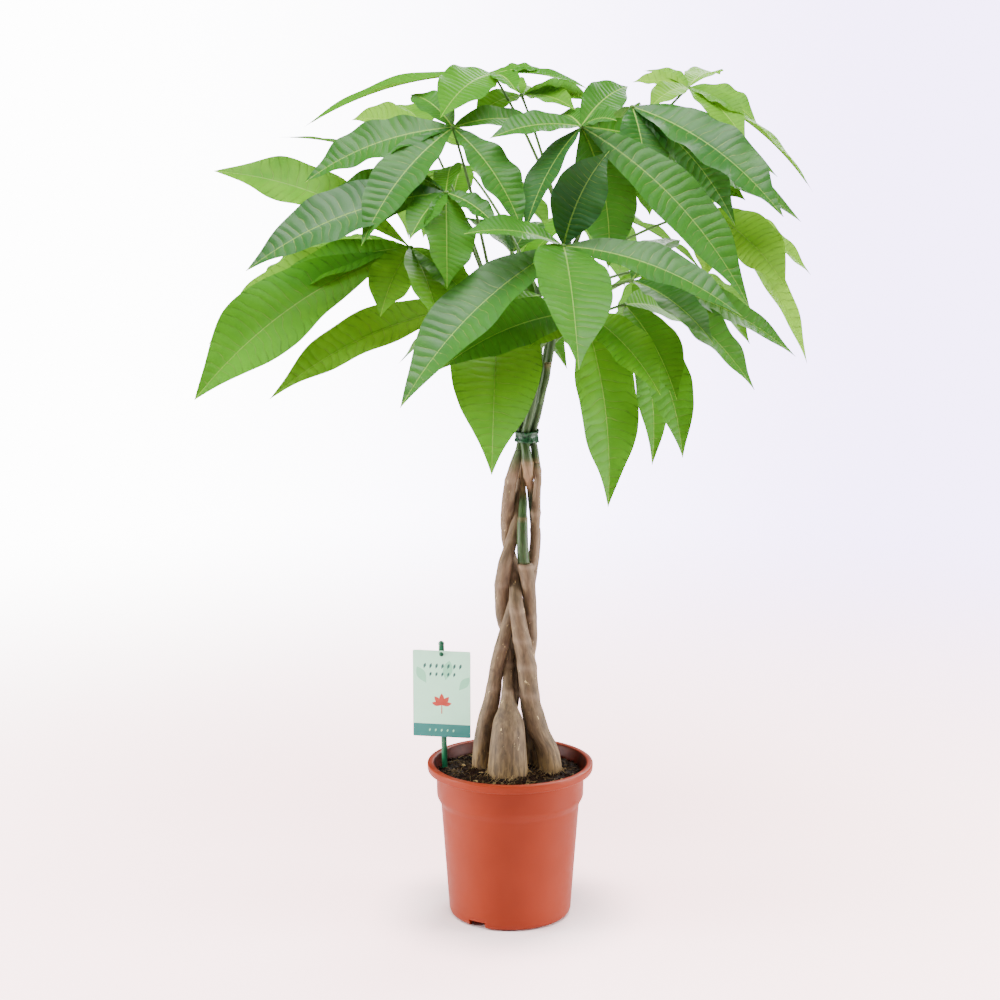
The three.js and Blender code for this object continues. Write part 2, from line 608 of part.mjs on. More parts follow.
// The card hangs upright on the stake's peg, a hair in front of the stake.
function labelCard() {
  const [width, height] = cardSize;
  const corners = new THREE.Shape();
  [[1, -1], [1, 1], [-1, 1], [-1, -1]].forEach(([sideX, sideZ], turn) => {
    const x = sideX * (width / 2 - cardCorner);
    const z = sideZ * (height / 2 - cardCorner);
    const start = (turn - 1) * (Math.PI / 2);
    corners.absarc(x, z, cardCorner, start, start + Math.PI / 2, false);
  });
  const sheet = new THREE.ExtrudeGeometry(corners, {
    depth: cardThickness, bevelEnabled: false, curveSegments: 3,
  })
    .translate(cardOffset, cardHoleDrop - height / 2, 0)
    .rotateX(Math.PI / 2);
  const drill = new THREE.CylinderGeometry(holeRadius, holeRadius, 6, 12);
  const rise = pegHeight - soilTop;
  const holeX = stakeX - rise * Math.sin(radians(stakeLean));
  const front = stakeY - stakeSize[1] / 2 - clearance - 0.15;
  const solid = [sheet, drill]
    .map((piece) => piece.rotateZ(radians(labelTurn)).translate(holeX, front, soilTop + rise))
    .map(solidFrom)
    .reduce((whole, piece) => whole.subtract(piece));
  return named("label_card", geometryFrom(solid), finish(colours.card, 0.45));
}

// ---- assembly ----
function moneyTree() {
  const draw = seededDraw(41);
  const grown = [...leaves, ...backLeaves.map((leaf) => ({ ...leaf, leaflets: backLeafTips(leaf, draw) }))];
  const group = new THREE.Group();
  group.add(pot(), soil());
  for (const name of Object.keys(plants)) {
    group.add(trunk(name), leafyShoot(name, grown));
  }
  group.add(tie(), labelStake(), labelCard());
  return group;
}

const group = moneyTree();
export default group;
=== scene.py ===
import random
from functools import partial
from math import cos, exp, hypot, log, pi, radians, sin, sqrt

import bpy
from mathutils import Matrix, Vector, noise


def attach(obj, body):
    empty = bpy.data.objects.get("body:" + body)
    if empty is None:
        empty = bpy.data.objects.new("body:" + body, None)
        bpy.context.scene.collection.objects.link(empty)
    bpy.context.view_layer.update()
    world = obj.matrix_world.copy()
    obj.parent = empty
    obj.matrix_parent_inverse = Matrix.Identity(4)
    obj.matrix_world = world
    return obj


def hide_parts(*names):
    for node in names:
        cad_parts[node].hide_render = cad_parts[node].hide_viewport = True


# A potted money tree: five braided plants in a nursery pot, with a tie and a plant label.
# +Z is up and the front faces -Y. Numbers are in metres, apart from the plants' tables,
# which are in millimetres as in the part's own source.

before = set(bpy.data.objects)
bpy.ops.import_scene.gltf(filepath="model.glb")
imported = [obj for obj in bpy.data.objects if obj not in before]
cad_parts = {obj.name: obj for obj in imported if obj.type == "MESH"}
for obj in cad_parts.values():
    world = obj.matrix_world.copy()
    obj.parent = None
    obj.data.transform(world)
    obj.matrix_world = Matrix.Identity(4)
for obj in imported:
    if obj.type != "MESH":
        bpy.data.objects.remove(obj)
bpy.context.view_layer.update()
mm = 0.001

# The plants: each row is a level cut of a stem, as height, x, y and radius.
plants = {
    "left": {"bark": [
        (112, -29, 5, 3), (130, -30, 5, 8), (148, -30.2, 4, 9), (177, -29, 4, 8.8), (203, -24.4, 3, 8.7),
        (224, -18.8, 0, 8), (245, -15.7, -1, 6.7), (266, -12.6, -5, 6.6), (287, -7.5, -6, 6.4),
        (308, -1.4, -2, 6.2), (329, 4.7, -1, 5.8), (339, 9.2, 3, 5.5), (350, 14.2, 5, 5.2),
        (360, 19.2, 6, 4.9), (370, 22.8, 6, 4.6), (391, 24.7, 4, 4.1), (411, 25.5, 3, 4), (431, 25.9, 0, 4),
        (442, 26.6, -2, 4), (452, 27.3, -3, 4), (469, 26, -1, 4)
    ], "green": [
        (469.3, 26, -1, 3.8), (482, 24.2, -1, 3.8), (492, 22.5, -1, 3.8), (503, 23, -1, 3.8),
        (515, 26, -2, 4), (540, 31, -4, 4.2), (570, 37, -6, 4), (610, 44, -8, 3.6), (650, 52, -10, 3)]},
    "front": {"bark": [
        (106, -2.5, -20, 5), (124, -2.5, -20, 15), (140, -2.5, -20, 20), (154, -2.5, -20, 20.3),
        (172, -2.5, -20, 19.2), (183, -2.5, -20, 18.3), (199, -2, -19, 16.6), (209, -2, -17, 14.3),
        (219, -2, -15, 9.8), (228, -2.3, -12, 6.9), (238, -2.5, -9, 5.2), (247, -2.6, -6, 4.6),
        (266, -1.9, 3, 5), (287, -1.9, 7, 5.6), (308, -7.5, 10, 6.5), (329, -8.2, 4, 7),
        (339, -8.2, 0, 7.1), (350, -7.8, -4, 7), (360, -6.4, -7, 6.8), (370, -5, -9, 6.6),
        (380, -1.9, -7, 6.2), (391, 1.1, -4, 5.6), (401, 3.6, -1, 4.9), (411, 6.1, 3, 4.2),
        (421, 7.6, 7, 4), (431, 8.6, 9.5, 4), (442, 9.1, 12, 3.8), (452, 9.6, 13, 3.7)
    ], "green": [
        (452.3, 9.6, 13, 3.6), (462, 10.1, 14, 3.6), (472, 9.8, 14, 3.6), (482, 12.5, 12.5, 3.5),
        (492, 14.5, 11.5, 3.5), (503, 15.2, 12.4, 3.5), (515, 16, 15, 3.5), (540, 20, 20, 3.5),
        (580, 24, 32, 3.4), (640, 28, 50, 3)]},
    "right": {"bark": [
        (110, 42, -6, 4), (130, 42, -6, 11), (148, 40.6, -6, 12.8), (166, 38.9, -6, 12.3),
        (177, 36.4, -6, 11.8), (193, 28.7, -6, 11.5), (203, 25.4, -6, 11.4), (214, 22.6, -6, 10.9),
        (224, 20.5, -6, 9.8), (245, 18.4, -8, 9.3), (266, 16.4, -8, 9.1), (287, 12.3, -11, 8.4),
        (308, 8.7, -14, 7.6), (329, 5.7, -15, 6.6), (339, 5.2, -9, 5.8), (350, 4.6, -1, 5.3),
        (360, 3.6, 4, 5.1), (370, 1.6, 5, 5), (380, -1.4, 6, 5), (391, -3.6, 7, 5.1), (401, -3.4, 8, 5.6),
        (411, -3.4, 7.5, 6), (421, -2.8, 5, 6.1), (431, -1.8, 2, 6.3), (442, -0.9, 1.5, 6.2),
        (452, 0.6, 1, 6), (462, 3.1, -1, 5.8), (472, 5.8, -1.5, 5.2), (482, 9, -0.5, 4.4)
    ], "green": [
        (482.3, 9, -0.5, 4.2), (492, 10.5, 1.5, 3.8), (503, 10, 1, 3.8), (515, 8, 0, 4), (540, 10, 0, 4),
        (575, 2, -4, 3.8), (610, -12, -8, 3.3)]},
    "back_right": {"bark": [
        (112, 24, 16, 4), (130, 24.5, 16, 8.5), (148, 24.2, 16, 9.6), (166, 23.7, 16, 9.2),
        (177, 23.1, 15, 8.7), (193, 21, 14, 7.5), (203, 20, 14, 6.8), (224, 18.5, 13, 6.5),
        (245, 17.9, 9, 6.3), (266, 18.4, 8.5, 6.3), (287, 20.9, 5, 6.2), (308, 20.3, -1, 6.2),
        (329, 19.8, -4, 6.1), (339, 18.8, -6, 6.4), (350, 17.8, -8, 6.6), (360, 16, -9, 6.7),
        (368.5, 14.2, -9, 6.4)
    ], "green": [
        (368.8, 13.4, -9, 6), (380, 12.5, -10, 6), (391, 12.1, -12, 5.7), (401, 12.1, -11.5, 5.5),
        (411, 12.1, -10, 5.2), (416, 12.3, -9, 4.4), (421, 12.4, -6, 4.3), (431, 12.9, -1, 4.1),
        (442, 12.6, 3.5, 3.1), (452, 12.3, 6.5, 2.6), (462, 12.5, 7, 2.8), (472, 12.5, 6, 3),
        (482, 16, 6, 3), (492, 18, 5, 3), (503, 18.6, 5.6, 3), (515, 21, 8, 3.3), (540, 27, 8, 3.6),
        (580, 36, 8, 3.6), (640, 47, 10, 3.3), (700, 60, 12, 2.8)]},
    "back": {"bark": [
        (114, -5, 26, 4), (132, -5, 26, 8), (148, -4, 26, 9), (177, -3, 25, 8.5), (203, 0, 20, 7),
        (224, 3, 12, 6), (245, 4.5, 8, 5.8), (266, 7, 14, 5.8), (287, 12, 16, 5.5), (308, 16, 15.5, 5.4),
        (329, 18.5, 13.5, 5.3), (350, 21, 16, 5.2), (370, 24, 17, 5.1), (391, 25.5, 14, 5),
        (400, 25, 13.5, 4.9)
    ], "green": [
        (400.3, 25, 13.5, 4.8), (411, 24, 13, 4.6), (431, 21.8, 10, 4.4), (442, 20.6, 5, 4.3),
        (452, 18.6, 0, 4.4), (462, 17.6, -5, 5.2), (472, 16.6, -7, 5.6), (482, 15.6, -9.5, 4.8),
        (492, 14, -7, 4.4), (503, 15.2, -7.8, 4.3), (515, 18, -10, 4.2), (540, 23, -14, 4),
        (575, 27, -18, 3.7), (610, 30, -26, 3.2)]},
}

# The left plant's old shoot, cut off flat; rows as above.
cutStub = [(524, 28, -3, 2.6), (538, 31, -7, 3.2), (556, 35.5, -11, 3.3), (571, 37, -13, 3.2)]

# Leaves: plant, height of the stalk's foot, hub, age from 0 (young, yellowish) to 1 (old, dark),
# in part painted light: the backlit leaves at the right are given as young and pale,
# and the leaflets, as the tip's x, y and z, the blade's width, its roll in degrees and, where they
# aren't the usual ones, the place of its belly and how much darker it looks, which is partly age,
# partly painted shade on leaflets in shadow, and painted light where it is below 0.
leaves = [
    ("back", 606, (49, -90, 689), 0.75, [
        (-101, -170, 547, 68, -25), (58, -250, 591, 74, -15, 0.42), (211, -145, 628, 46, 35),
        # painted shade: the last leaflet here, the upright one, is darkened by 0.35
        (-43, -150, 703, 38, -30), (89, -130, 777, 50, 120, 0.49, 0.35)]),
    ("back_right", 696, (67, -40, 799), 0.7, [
        (222, -110, 633, 54, 45), (294, 70, 705, 54, 55), (13, -85, 702, 42, 0, 0.49, 0.3),
        (-20, -75, 788, 34, -35), (115, 30, 838, 38, 40), (97, -100, 804, 25, 40), (46, 25, 810, 24, -25),
        (93, -50, 666, 58, 65)]),
    ("right", 606, (-55, -50, 798), 0.65, [
        (-138, -120, 691, 52, -25), (-195, -60, 747, 48, -45), (11, -95, 702, 46, 20),
        (-98, 20, 830, 34, -20), (33, 10, 800, 32, 35)]),
    ("right", 590, (-96, -40, 685), 0.35, [
        (-300, -90, 544, 80, -50, 0.6, 0.15), (-286, -20, 757, 56, -45, 0.6), (-123, -90, 623, 45, -20),
        # painted light: the first leaflet here is paled by 0.2, for a lit face where its shaded side shows
        (-298, 0, 588, 64, -45, 0.55, -0.2), (-34, -98, 628, 36, 20), (-66, -110, 612, 48, -10),
        (-239, -45, 633, 44, -40)]),
    ("right", 600, (-61, -80, 738), 0.7, [
        (-59, -130, 653, 54, -30), (-246, -110, 667, 60, -45, 0.49, 0.2), (-93, -130, 697, 34, -10),
        (-13, -110, 707, 26, 25), (-57, -10, 762, 30, -20), (-173, -40, 738, 38, -45),
        (-225, 0, 789, 24, 5)]),
    ("back_right", 690, (-17, 30, 850), 0.45, [
        (-200, 0, 799, 42, -9), (36, 40, 852, 22, 20), (76, 20, 835, 26, 15), (-66, -75, 807, 50, -25),
        (5, -30, 832, 26, 10), (-41, 110, 838, 34, 0)]),
    ("back_right", 680, (11, 50, 830), 0.4, [
        (78, 20, 825, 32, 40), (62, -10, 815, 30, 25), (7, 110, 845, 28, 35), (-35, 10, 808, 32, -25),
        (-10, 100, 848, 28, 0)]),
    ("back_right", 670, (177, 60, 838), 0.2, [
        (301, 40, 735, 34, 5), (239, 10, 804, 34, 25), (227, -10, 784, 36, 20), (134, 0, 816, 28, -25),
        (135, 100, 855, 28, -10), (122, 60, 843, 26, -35), (218, 150, 853, 34, 5)]),
    ("left", 646, (117, -10, 818), 0.8, [
        (254, -90, 716, 60, 30), (130, -50, 739, 50, -5), (215, -40, 706, 46, 40), (261, 10, 751, 34, 45),
        (105, 80, 792, 36, -10)]),
    ("right", 560, (-35, -10, 627), 0.4, [
        (-232, -60, 541, 58, -35), (10, 40, 578, 40, 60), (-68, -60, 593, 36, -10),
        (-57, 110, 623, 40, -25)]),
    ("front", 630, (201, 110, 715), 0.1, [
        (313, 120, 648, 44, 30), (307, 90, 559, 44, 25), (279, 60, 639, 58, 40), (194, 30, 649, 42, -30),
        (166, 60, 702, 30, -15), (248, 210, 754, 40, 0), (195, 220, 733, 36, 0)]),
    ("left", 610, (116, -50, 654), 0.75, [
        (273, -60, 582, 38, 35), (228, -110, 556, 46, 20), (187, -130, 601, 40, 15),
        (171, 60, 687, 38, 5)]),
    ("left", 590, (113, 10, 626), 0.5, [
        (171, -10, 476, 50, 45), (160, -60, 540, 50, 15), (143, 20, 464, 40, 80), (187, 110, 592, 42, 45),
        (115, 110, 550, 38, -35)]),
    ("back", 585, (69, -60, 625), 0.35, [
        # painted shade: the third leaflet here is darkened by 0.4, for the shadow behind the middle of the
        # plant
        (93, -90, 441, 66, 10, 0.44, 0.1), (140, -110, 551, 46, 30), (-66, -124, 577, 52, -50, 0.49, 0.4),
        (17, -80, 592, 34, -45)]),
    ("right", 545, (-12, -5, 617), 0.5, [
        (-18, -180, 487, 88, -6, 0.42), (30, 30, 634, 40, 20), (-31, 70, 595, 36, 15),
        (-54, -60, 572, 34, -25)]),
    ("right", 595, (-86, 80, 796), 0.25, [
        (-158, 60, 806, 40, -40), (-103, 70, 689, 42, -10), (-73, 170, 822, 40, -20),
        (-40, 60, 777, 32, 30), (-120, 150, 822, 40, 0)]),
    ("front", 606, (2, 92, 672), 0.8, [
        (-34, 104, 588, 42, 10), (8, 84, 572, 44, 5), (52, 78, 604, 42, -10), (-52, 126, 708, 38, 0),
        (34, 140, 702, 38, 10)]),
    ("left", 640, (150, 60, 762), 0.5, [
        (235, 50, 727, 44, 50), (230, 100, 766, 40, 40), (189, 40, 693, 40, 35), (138, 30, 713, 38, 20),
        (136, 150, 786, 40, 10)]),
]

# Leaves at the back follow one rule: plant, height of the stalk's foot, hub, age, the bearing that
# they face and the longest leaflet.
backLeaves = [
    ("right", 575, (-150, 120, 690), 0.4, 150, 150),
    ("front", 636, (-50, 190, 760), 0.5, 115, 155),
    ("front", 625, (85, 215, 715), 0.45, 70, 160),
    ("front", 612, (170, 190, 650), 0.5, 35, 150),
    ("front", 600, (0, 150, 620), 0.7, 100, 150),
]
backLook = {"leaflets": 5, "spread": 285, "droop": 34, "width": 0.36, "seed": 41}


# Shared helpers.

smooth = {"interpolation_type": "SMOOTHSTEP"}
mixed = {"data_type": "RGBA"}
darkened = {"data_type": "RGBA", "blend_type": "MULTIPLY"}
times = {"operation": "MULTIPLY"}
plus = {"operation": "ADD"}


def linearColour(hexColour):
    channels = [int(hexColour[place:place + 2], 16) / 255 for place in (1, 3, 5)]
    return (*[c / 12.92 if c <= 0.04045 else ((c + 0.055) / 1.055) ** 2.4 for c in channels], 1.0)


# Adds a node and gives its output. Inputs fill its sockets by name, or else in their order: a
# noise takes a place, scale, detail and roughness, a map range a value and two ranges, and a mix
# a share and two colours.
def add(tree, kind, inputs=(), out=None, stops=(), **settings):
    made = tree.nodes.new("ShaderNode" + kind)
    for name, value in settings.items():
        setattr(made, name, value)
    if stops:
        elements = made.color_ramp.elements
        elements.remove(elements[1])
        for place, (position, colour) in enumerate(stops):
            element = elements.new(position) if place else elements[0]
            element.position = position
            element.color = linearColour(colour)
    sockets = [socket for socket in made.inputs if socket.enabled]
    for name, value in inputs.items() if isinstance(inputs, dict) else enumerate(inputs):
        socket = made.inputs[name] if isinstance(name, str) else sockets[name]
        if isinstance(value, bpy.types.NodeSocket):
            tree.links.new(value, socket)
        else:
            socket.default_value = linearColour(value) if isinstance(value, str) else value
    if out:
        return made.outputs[out]
    return next((socket for socket in made.outputs if socket.enabled), made)


def addObject(name, data):
    made = bpy.data.objects.new(name, data)
    bpy.context.scene.collection.objects.link(made)
    return made


# A new node tree that is filled by paint, which gives back what goes to its output.
def fillTree(owner, output, paint, *values):
    owner.use_nodes = True
    owner.node_tree.nodes.clear()
    node = partial(add, owner.node_tree)
    node(output, [paint(node, *values)])
    return owner


def makeMaterial(name, paint, *values):
    return fillTree(bpy.data.materials.new(name), "OutputMaterial", paint, *values)


def vec(row):
    return Vector(row) * mm


def clamp(value, low=0.0, high=1.0):
    return max(low, min(high, value))


def smoothStep(low, high, value):
    share = clamp((value - low) / (high - low))
    return share * share * (3 - 2 * share)


# The cosine and sine of each even step round a circle.
def circle(sides):
    angles = [2 * pi * side / sides for side in range(sides)]
    return [(cos(angle), sin(angle)) for angle in angles]


# Points, faces, a material number for each face and named values for each point.
class Shape:
    def __init__(self):
        self.points = []
        self.faces = []
        self.paint = []
        self.marks = {}

    def point(self, place, **marks):
        for name, value in marks.items():
            self.marks.setdefault(name, {})[len(self.points)] = value
        self.points.append(tuple(place))
        return len(self.points) - 1

    # a level ring about an upright axis
    def ring(self, sides, radius, height, centre=(0, 0), **marks):
        return [self.point((centre[0] + radius * x, centre[1] + radius * y, height), **marks)
                for x, y in circle(sides)]

    def face(self, corners, paint=0):
        self.faces.append(corners)
        self.paint.append(paint)

    # faces between two rings of point numbers
    def band(self, lower, upper, paint=0, closed=True):
        for side in range(0 if closed else 1, len(lower)):
            self.face((lower[side - 1], lower[side], upper[side], upper[side - 1]), paint)

    # rings joined into a closed skin, with flat ends or with faces that run to two tips
    def skin(self, rings, paint=0, tips=None):
        for lower, upper in zip(rings, rings[1:]):
            self.band(lower, upper, paint)
        if not tips:
            self.face(rings[0][::-1], paint)
            self.face(rings[-1], paint)
            return
        for ring, tip in zip((rings[0][::-1], rings[-1]), tips):
            for side in range(len(ring)):
                self.face((tip, ring[side - 1], ring[side]), paint)

    # the object; one with a slot is a piece of the plant, smooth apart from its sharp edges
    def build(self, name, materials=(), slot=None, replaced=None, sharp=None):
        mesh = bpy.data.meshes.new(name)
        mesh.from_pydata(self.points, [], self.faces)
        for material in materials:
            mesh.materials.append(material)
        mesh.polygons.foreach_set("material_index", self.paint)
        for mark, values in self.marks.items():
            wide = isinstance(next(iter(values.values())), (tuple, Vector))
            layer = mesh.attributes.new(mark, "FLOAT_VECTOR" if wide else "FLOAT", "POINT")
            full = [values.get(place, (0, 0, 0) if wide else 0) for place in range(len(self.points))]
            if wide:
                layer.data.foreach_set("vector", [part for row in full for part in row])
            else:
                layer.data.foreach_set("value", full)
        mesh.polygons.foreach_set("use_smooth", [bool(slot)] * len(self.faces))
        if sharp:
            mesh.set_sharp_from_angle(angle=radians(sharp))
        mesh.update()
        piece = addObject(name, mesh)
        if slot:
            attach(piece, "root")
        if replaced:
            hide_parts(replaced)
        return piece


# A rod along a path, with a radius at each point; its grain follows it.
def addTube(shape, path, radii, sides, paint=0, tone=0.5):
    side = None
    travelled = 0.0
    rings = []
    for place, (middle, radius) in enumerate(zip(path, radii)):
        behind = path[max(place - 1, 0)]
        along = (path[min(place + 1, len(path) - 1)] - behind).normalized()
        if side is None:
            side = along.orthogonal().normalized()
        side = (side - along * side.dot(along)).normalized()
        other = along.cross(side)
        travelled += (middle - behind).length
        rings.append([
            shape.point(middle + (side * x + other * y) * radius,
                        grain=(radius * x, radius * y, travelled), tone=tone)
            for x, y in circle(sides)])
    shape.skin(rings, paint)


# A knob of any stretch with small flat ends.
def addKnob(shape, centre, radius, stretch, levels, sides, at=Vector, tone=None):
    rings = []
    for level in range(1, levels):
        tilt = pi * level / levels
        ring = []
        for x, y in circle(sides):
            way = Vector((stretch[0] * sin(tilt) * x, stretch[1] * sin(tilt) * y,
                          -stretch[2] * cos(tilt))) * radius
            marks = {} if tone is None else {"grain": way, "tone": tone}
            ring.append(shape.point(at(Vector(centre) + way), **marks))
        rings.append(ring)
    shape.skin(rings)


# The same seeded draw as in the part's own source, so the back leaves match the solids.
def seededDraw(seed):
    state = seed
    whole = 0xFFFFFFFF

    def draw():
        nonlocal state
        state = (state + 0x6D2B79F5) & whole
        stirred = ((state ^ (state >> 15)) * (state | 1)) & whole
        stirred ^= (stirred + (((stirred ^ (stirred >> 7)) * (stirred | 61)) & whole)) & whole
        return ((stirred ^ (stirred >> 14)) & whole) / (whole + 1)

    return draw


# Materials of the plants.

leafLook = {
    # the darkest green: for the oldest blades, and painted shade on leaflets darkened by their shift
    "upperOldestAndShaded": "#174420",
    "upperOld": "#225816",
    "upperGrown": "#3A7814",
    "upperYoung": "#78AA2A",
    "underside": "#64963C",
    "vein": "#A4D254",
    "rib": "#A8D048",
    "through": "#74A81E",
    "throughVein": "#B4D45A",
    "throughOld": "#4C861A",
    "throughShares": (0.36, 0.14),  # light let through by the youngest and the oldest blades
    "sheens": (0.08, 0.4),          # the skin's sheen on half-grown and on old blades
    "roughness": 0.46,
    "veinTint": 0.32,
    # painted shade: the colour that darkens the creases along the side veins
    "furrow": "#8A9C78",
    "creaseShadeTint": 0.95,
    "puffDepth": 0.00045,
}


# Living leaf blade with a waxed upper face: soft sheen on top, duller and paler below,
# and yellow-green where light comes through it.
def leafBlade(node):
    look = leafLook
    blade = node("Attribute", out="Vector", attribute_name="blade")
    veins = node("Attribute", out="Fac", attribute_name="vein")
    tone = node("Attribute", out="Fac", attribute_name="tone")
    share, across, fromRib = [node("SeparateXYZ", [blade], axis) for axis in "XYZ"]
    side = node("Math", [across], operation="ABSOLUTE")
    place = node("TexCoord", out="Object")
    ridge = node("Math", (veins, 0.5), operation="PINGPONG")
    # side veins: broken lines about 0.7 mm wide, 5 to 9 mm apart
    vein = node("MapRange", (ridge, 0.015, 0.07, 1, 0), **smooth)
    fade = node("MapRange", (side, 0.3, 0.95, 1, 0.1))
    patchy = node("TexNoise", (place, 150, 2))
    patchy = node("MapRange", (patchy, 0.4, 0.6, 0.25, 1))
    vein = node("Math", (vein, fade), **times)
    vein = node("Math", (vein, patchy), **times)
    # painted shade: darker in the creases along the side veins, on the upper face and in the light let
    # through
    furrow = node("MapRange", (ridge, 0, 0.13, look["creaseShadeTint"], 0), **smooth)
    furrow = node("Math", (furrow, patchy), **times)
    # the midrib: 1.7 mm wide at the foot, 0.5 mm at the tip
    ribEdge = node("MapRange", (share, 0, 1, 0.85, 0.25))
    rib = node("Math", (fromRib, ribEdge), operation="DIVIDE")
    rib = node("MapRange", (rib, 0.5, 1.1, 1, 0), **smooth)
    blotch = node("TexNoise", (place, 28, 3, 0.6))
    age = node("MapRange", (blotch, 0.3, 0.7, -0.07, 0.07))
    age = node("Math", (tone, age), use_clamp=True, **plus)
    upper = node("ValToRGB", [age], stops=[
        (0.05, look["upperYoung"]), (0.4, look["upperGrown"]),
        (0.8, look["upperOld"]), (1.0, look["upperOldestAndShaded"])])
    upper = node("Mix", (furrow, upper, look["furrow"]), **darkened)
    veinTint = node("Math", (vein, look["veinTint"]), **times)
    upper = node("Mix", (veinTint, upper, look["vein"]), **mixed)
    ribTint = node("Math", (rib, 0.75), **times)
    upper = node("Mix", (ribTint, upper, look["rib"]), **mixed)
    lower = node("Mix", (0.4, upper, look["underside"]), **mixed)
    turned = node("NewGeometry", out="Backfacing")
    colour = node("Mix", (turned, upper, lower), **mixed)
    gloss = node("MapRange", (turned, 0, 1, look["roughness"], 0.6))
    # relief: raised between the veins, a fine net of veinlets, a groove along the rib
    puff = node("Math", (ridge, 2), **times)
    puff = node("Math", (puff, 0.5), operation="POWER")
    net = node("TexVoronoi", (place, 420), feature="DISTANCE_TO_EDGE")
    net = node("MapRange", (net, 0, 0.12, 0, 0.04))
    relief = node("Math", (puff, net), **plus)
    relief = node("Math", (rib, -0.6, relief), operation="MULTIPLY_ADD")
    bump = node("Bump", {"Height": relief, "Strength": 0.6, "Distance": look["puffDepth"]})
    sheen = node("MapRange", (tone, 0.5, 0.9, *look["sheens"]))
    body = node("BsdfPrincipled", {"Base Color": colour, "Roughness": gloss, "IOR": 1.45,
                                   "Specular IOR Level": sheen, "Normal": bump})
    through = node("Mix", (vein, look["through"], look["throughVein"]), **mixed)
    through = node("Mix", (age, through, look["throughOld"]), **mixed)
    # painted shade in the vein creases, on the light let through
    through = node("Mix", (furrow, through, look["furrow"]), **darkened)
    glow = node("BsdfTranslucent", {"Color": through})
    thin = node("MapRange", (tone, 0, 1, *look["throughShares"]))
    return node("MixShader", (thin, body, glow))


# Green living stem with a thin waxed skin: satin, with fine length streaks and small brown pores.
def greenStem(node):
    grain = node("Attribute", out="Vector", attribute_name="grain")
    tone = node("Attribute", out="Fac", attribute_name="tone")
    scar = node("Attribute", out="Fac", attribute_name="scar")
    streak = node("VectorMath", (grain, (900, 900, 60)), **times)
    streak = node("TexNoise", (streak, 1, 3))
    pore = node("VectorMath", (grain, (420, 420, 110)), **times)
    pore = node("TexVoronoi", (pore, 1))
    pore = node("MapRange", (pore, 0.14, 0.24, 0.7, 0))
    colour = node("ValToRGB", [streak], stops=[(0.3, "#182810"), (0.55, "#2C3E20"), (0.75, "#455A30")])
    colour = node("Mix", (tone, colour, "#587E34"), **mixed)
    colour = node("Mix", (pore, colour, "#3B3020"), **mixed)
    # young wood: the skin turns brown at the nodes and towards the bark
    woody = node("MapRange", (streak, 0.3, 0.6, 0.55, 1))
    woody = node("Math", (woody, scar), use_clamp=True, **times)
    colour = node("Mix", (woody, colour, "#86684C"), **mixed)
    bump = node("Bump", {"Height": streak, "Strength": 0.35, "Distance": 0.0004})
    return node("BsdfPrincipled", {
        "Base Color": colour, "Roughness": 0.48, "IOR": 1.45, "Specular IOR Level": 0.3, "Normal": bump})


# Young smooth bark: dull tan with fine upright fibres, dark in the furrows, pinkish higher up.
def youngBark(node):
    grain = node("Attribute", out="Vector", attribute_name="grain")
    scar = node("Attribute", out="Fac", attribute_name="scar")
    hollow = node("Attribute", out="Fac", attribute_name="tone")
    place = node("TexCoord", out="Object")
    height = node("SeparateXYZ", [place], "Z")
    # fibres about 0.8 mm wide and 11 mm long
    fibre = node("VectorMath", (grain, (1300, 1300, 90)), **times)
    fibre = node("TexNoise", (fibre, 1, 5, 0.65))
    furrow = node("VectorMath", (grain, (280, 280, 60)), **times)
    furrow = node("TexNoise", {"Vector": furrow, "Scale": 1, "Detail": 4, "Roughness": 0.6,
                               "Distortion": 0.4})
    tan = node("ValToRGB", [furrow], stops=[
        (0.28, "#3A2D1A"), (0.45, "#56442C"), (0.6, "#69553A"), (0.78, "#7C6747")])
    pink = node("MapRange", (height, 0.26, 0.44, 0, 0.4))
    tan = node("Mix", (pink, tan, "#8E7258"), **mixed)
    shade = node("MapRange", (fibre, 0.35, 0.65, 0.82, 1.1))
    tan = node("Mix", (1, tan, node("CombineColor", (shade, shade, shade))), **darkened)
    # the peeled foot: pale and ragged, fading out 30 mm above the soil
    foot = node("MapRange", (height, 0.182, 0.157, 0, 1))
    ragged = node("MapRange", (furrow, 0.42, 0.58, 0.15, 0.8))
    ragged = node("Math", (foot, ragged), **times)
    tan = node("Mix", (ragged, tan, "#8A6E44"), **mixed)
    # torn flecks of pale inner bark, 2 to 5 mm long
    fleck = node("VectorMath", (grain, (260, 260, 110)), **times)
    fleck = node("TexNoise", (fleck, 1, 4, 0.7))
    fleck = node("MapRange", (fleck, 0.66, 0.7, 0, 0.85))
    tan = node("Mix", (fleck, tan, "#D8BC82"), **mixed)
    speck = node("TexNoise", (place, 55, 3))
    speck = node("MapRange", (speck, 0.3, 0.36, 0.5, 0))
    tan = node("Mix", (speck, tan, "#3C2C1E"), **mixed)
    for share, strength, colour in ((hollow, 0.28, "#3E2D1F"), (scar, 0.3, "#A98E74")):
        tan = node("Mix", (node("Math", (share, strength), **times), tan, colour), **mixed)
    # the bark thins to green skin just below the tie, apart from its nodes
    green = node("MapRange", (height, 0.458, 0.478, 0, 0.85))
    bare = node("MapRange", (scar, 0.2, 0.6, 1, 0.15))
    green = node("Math", (green, bare), **times)
    tan = node("Mix", (green, tan, "#3F5A36"), **mixed)
    relief = node("Math", (fibre, 0.5, furrow), operation="MULTIPLY_ADD")
    bump = node("Bump", {"Height": relief, "Strength": 0.55, "Distance": 0.0009})
    return node("BsdfPrincipled", {
        "Base Color": tan, "Roughness": 0.72, "IOR": 1.45, "Normal": bump})


bladeMaterial = makeMaterial("living leaf blade, waxed", leafBlade)
stemMaterial = makeMaterial("living green stem, thin skin", greenStem)
barkMaterial = makeMaterial("young bark, dry and fibrous", youngBark)
print("plant materials ready")


# Leaves.

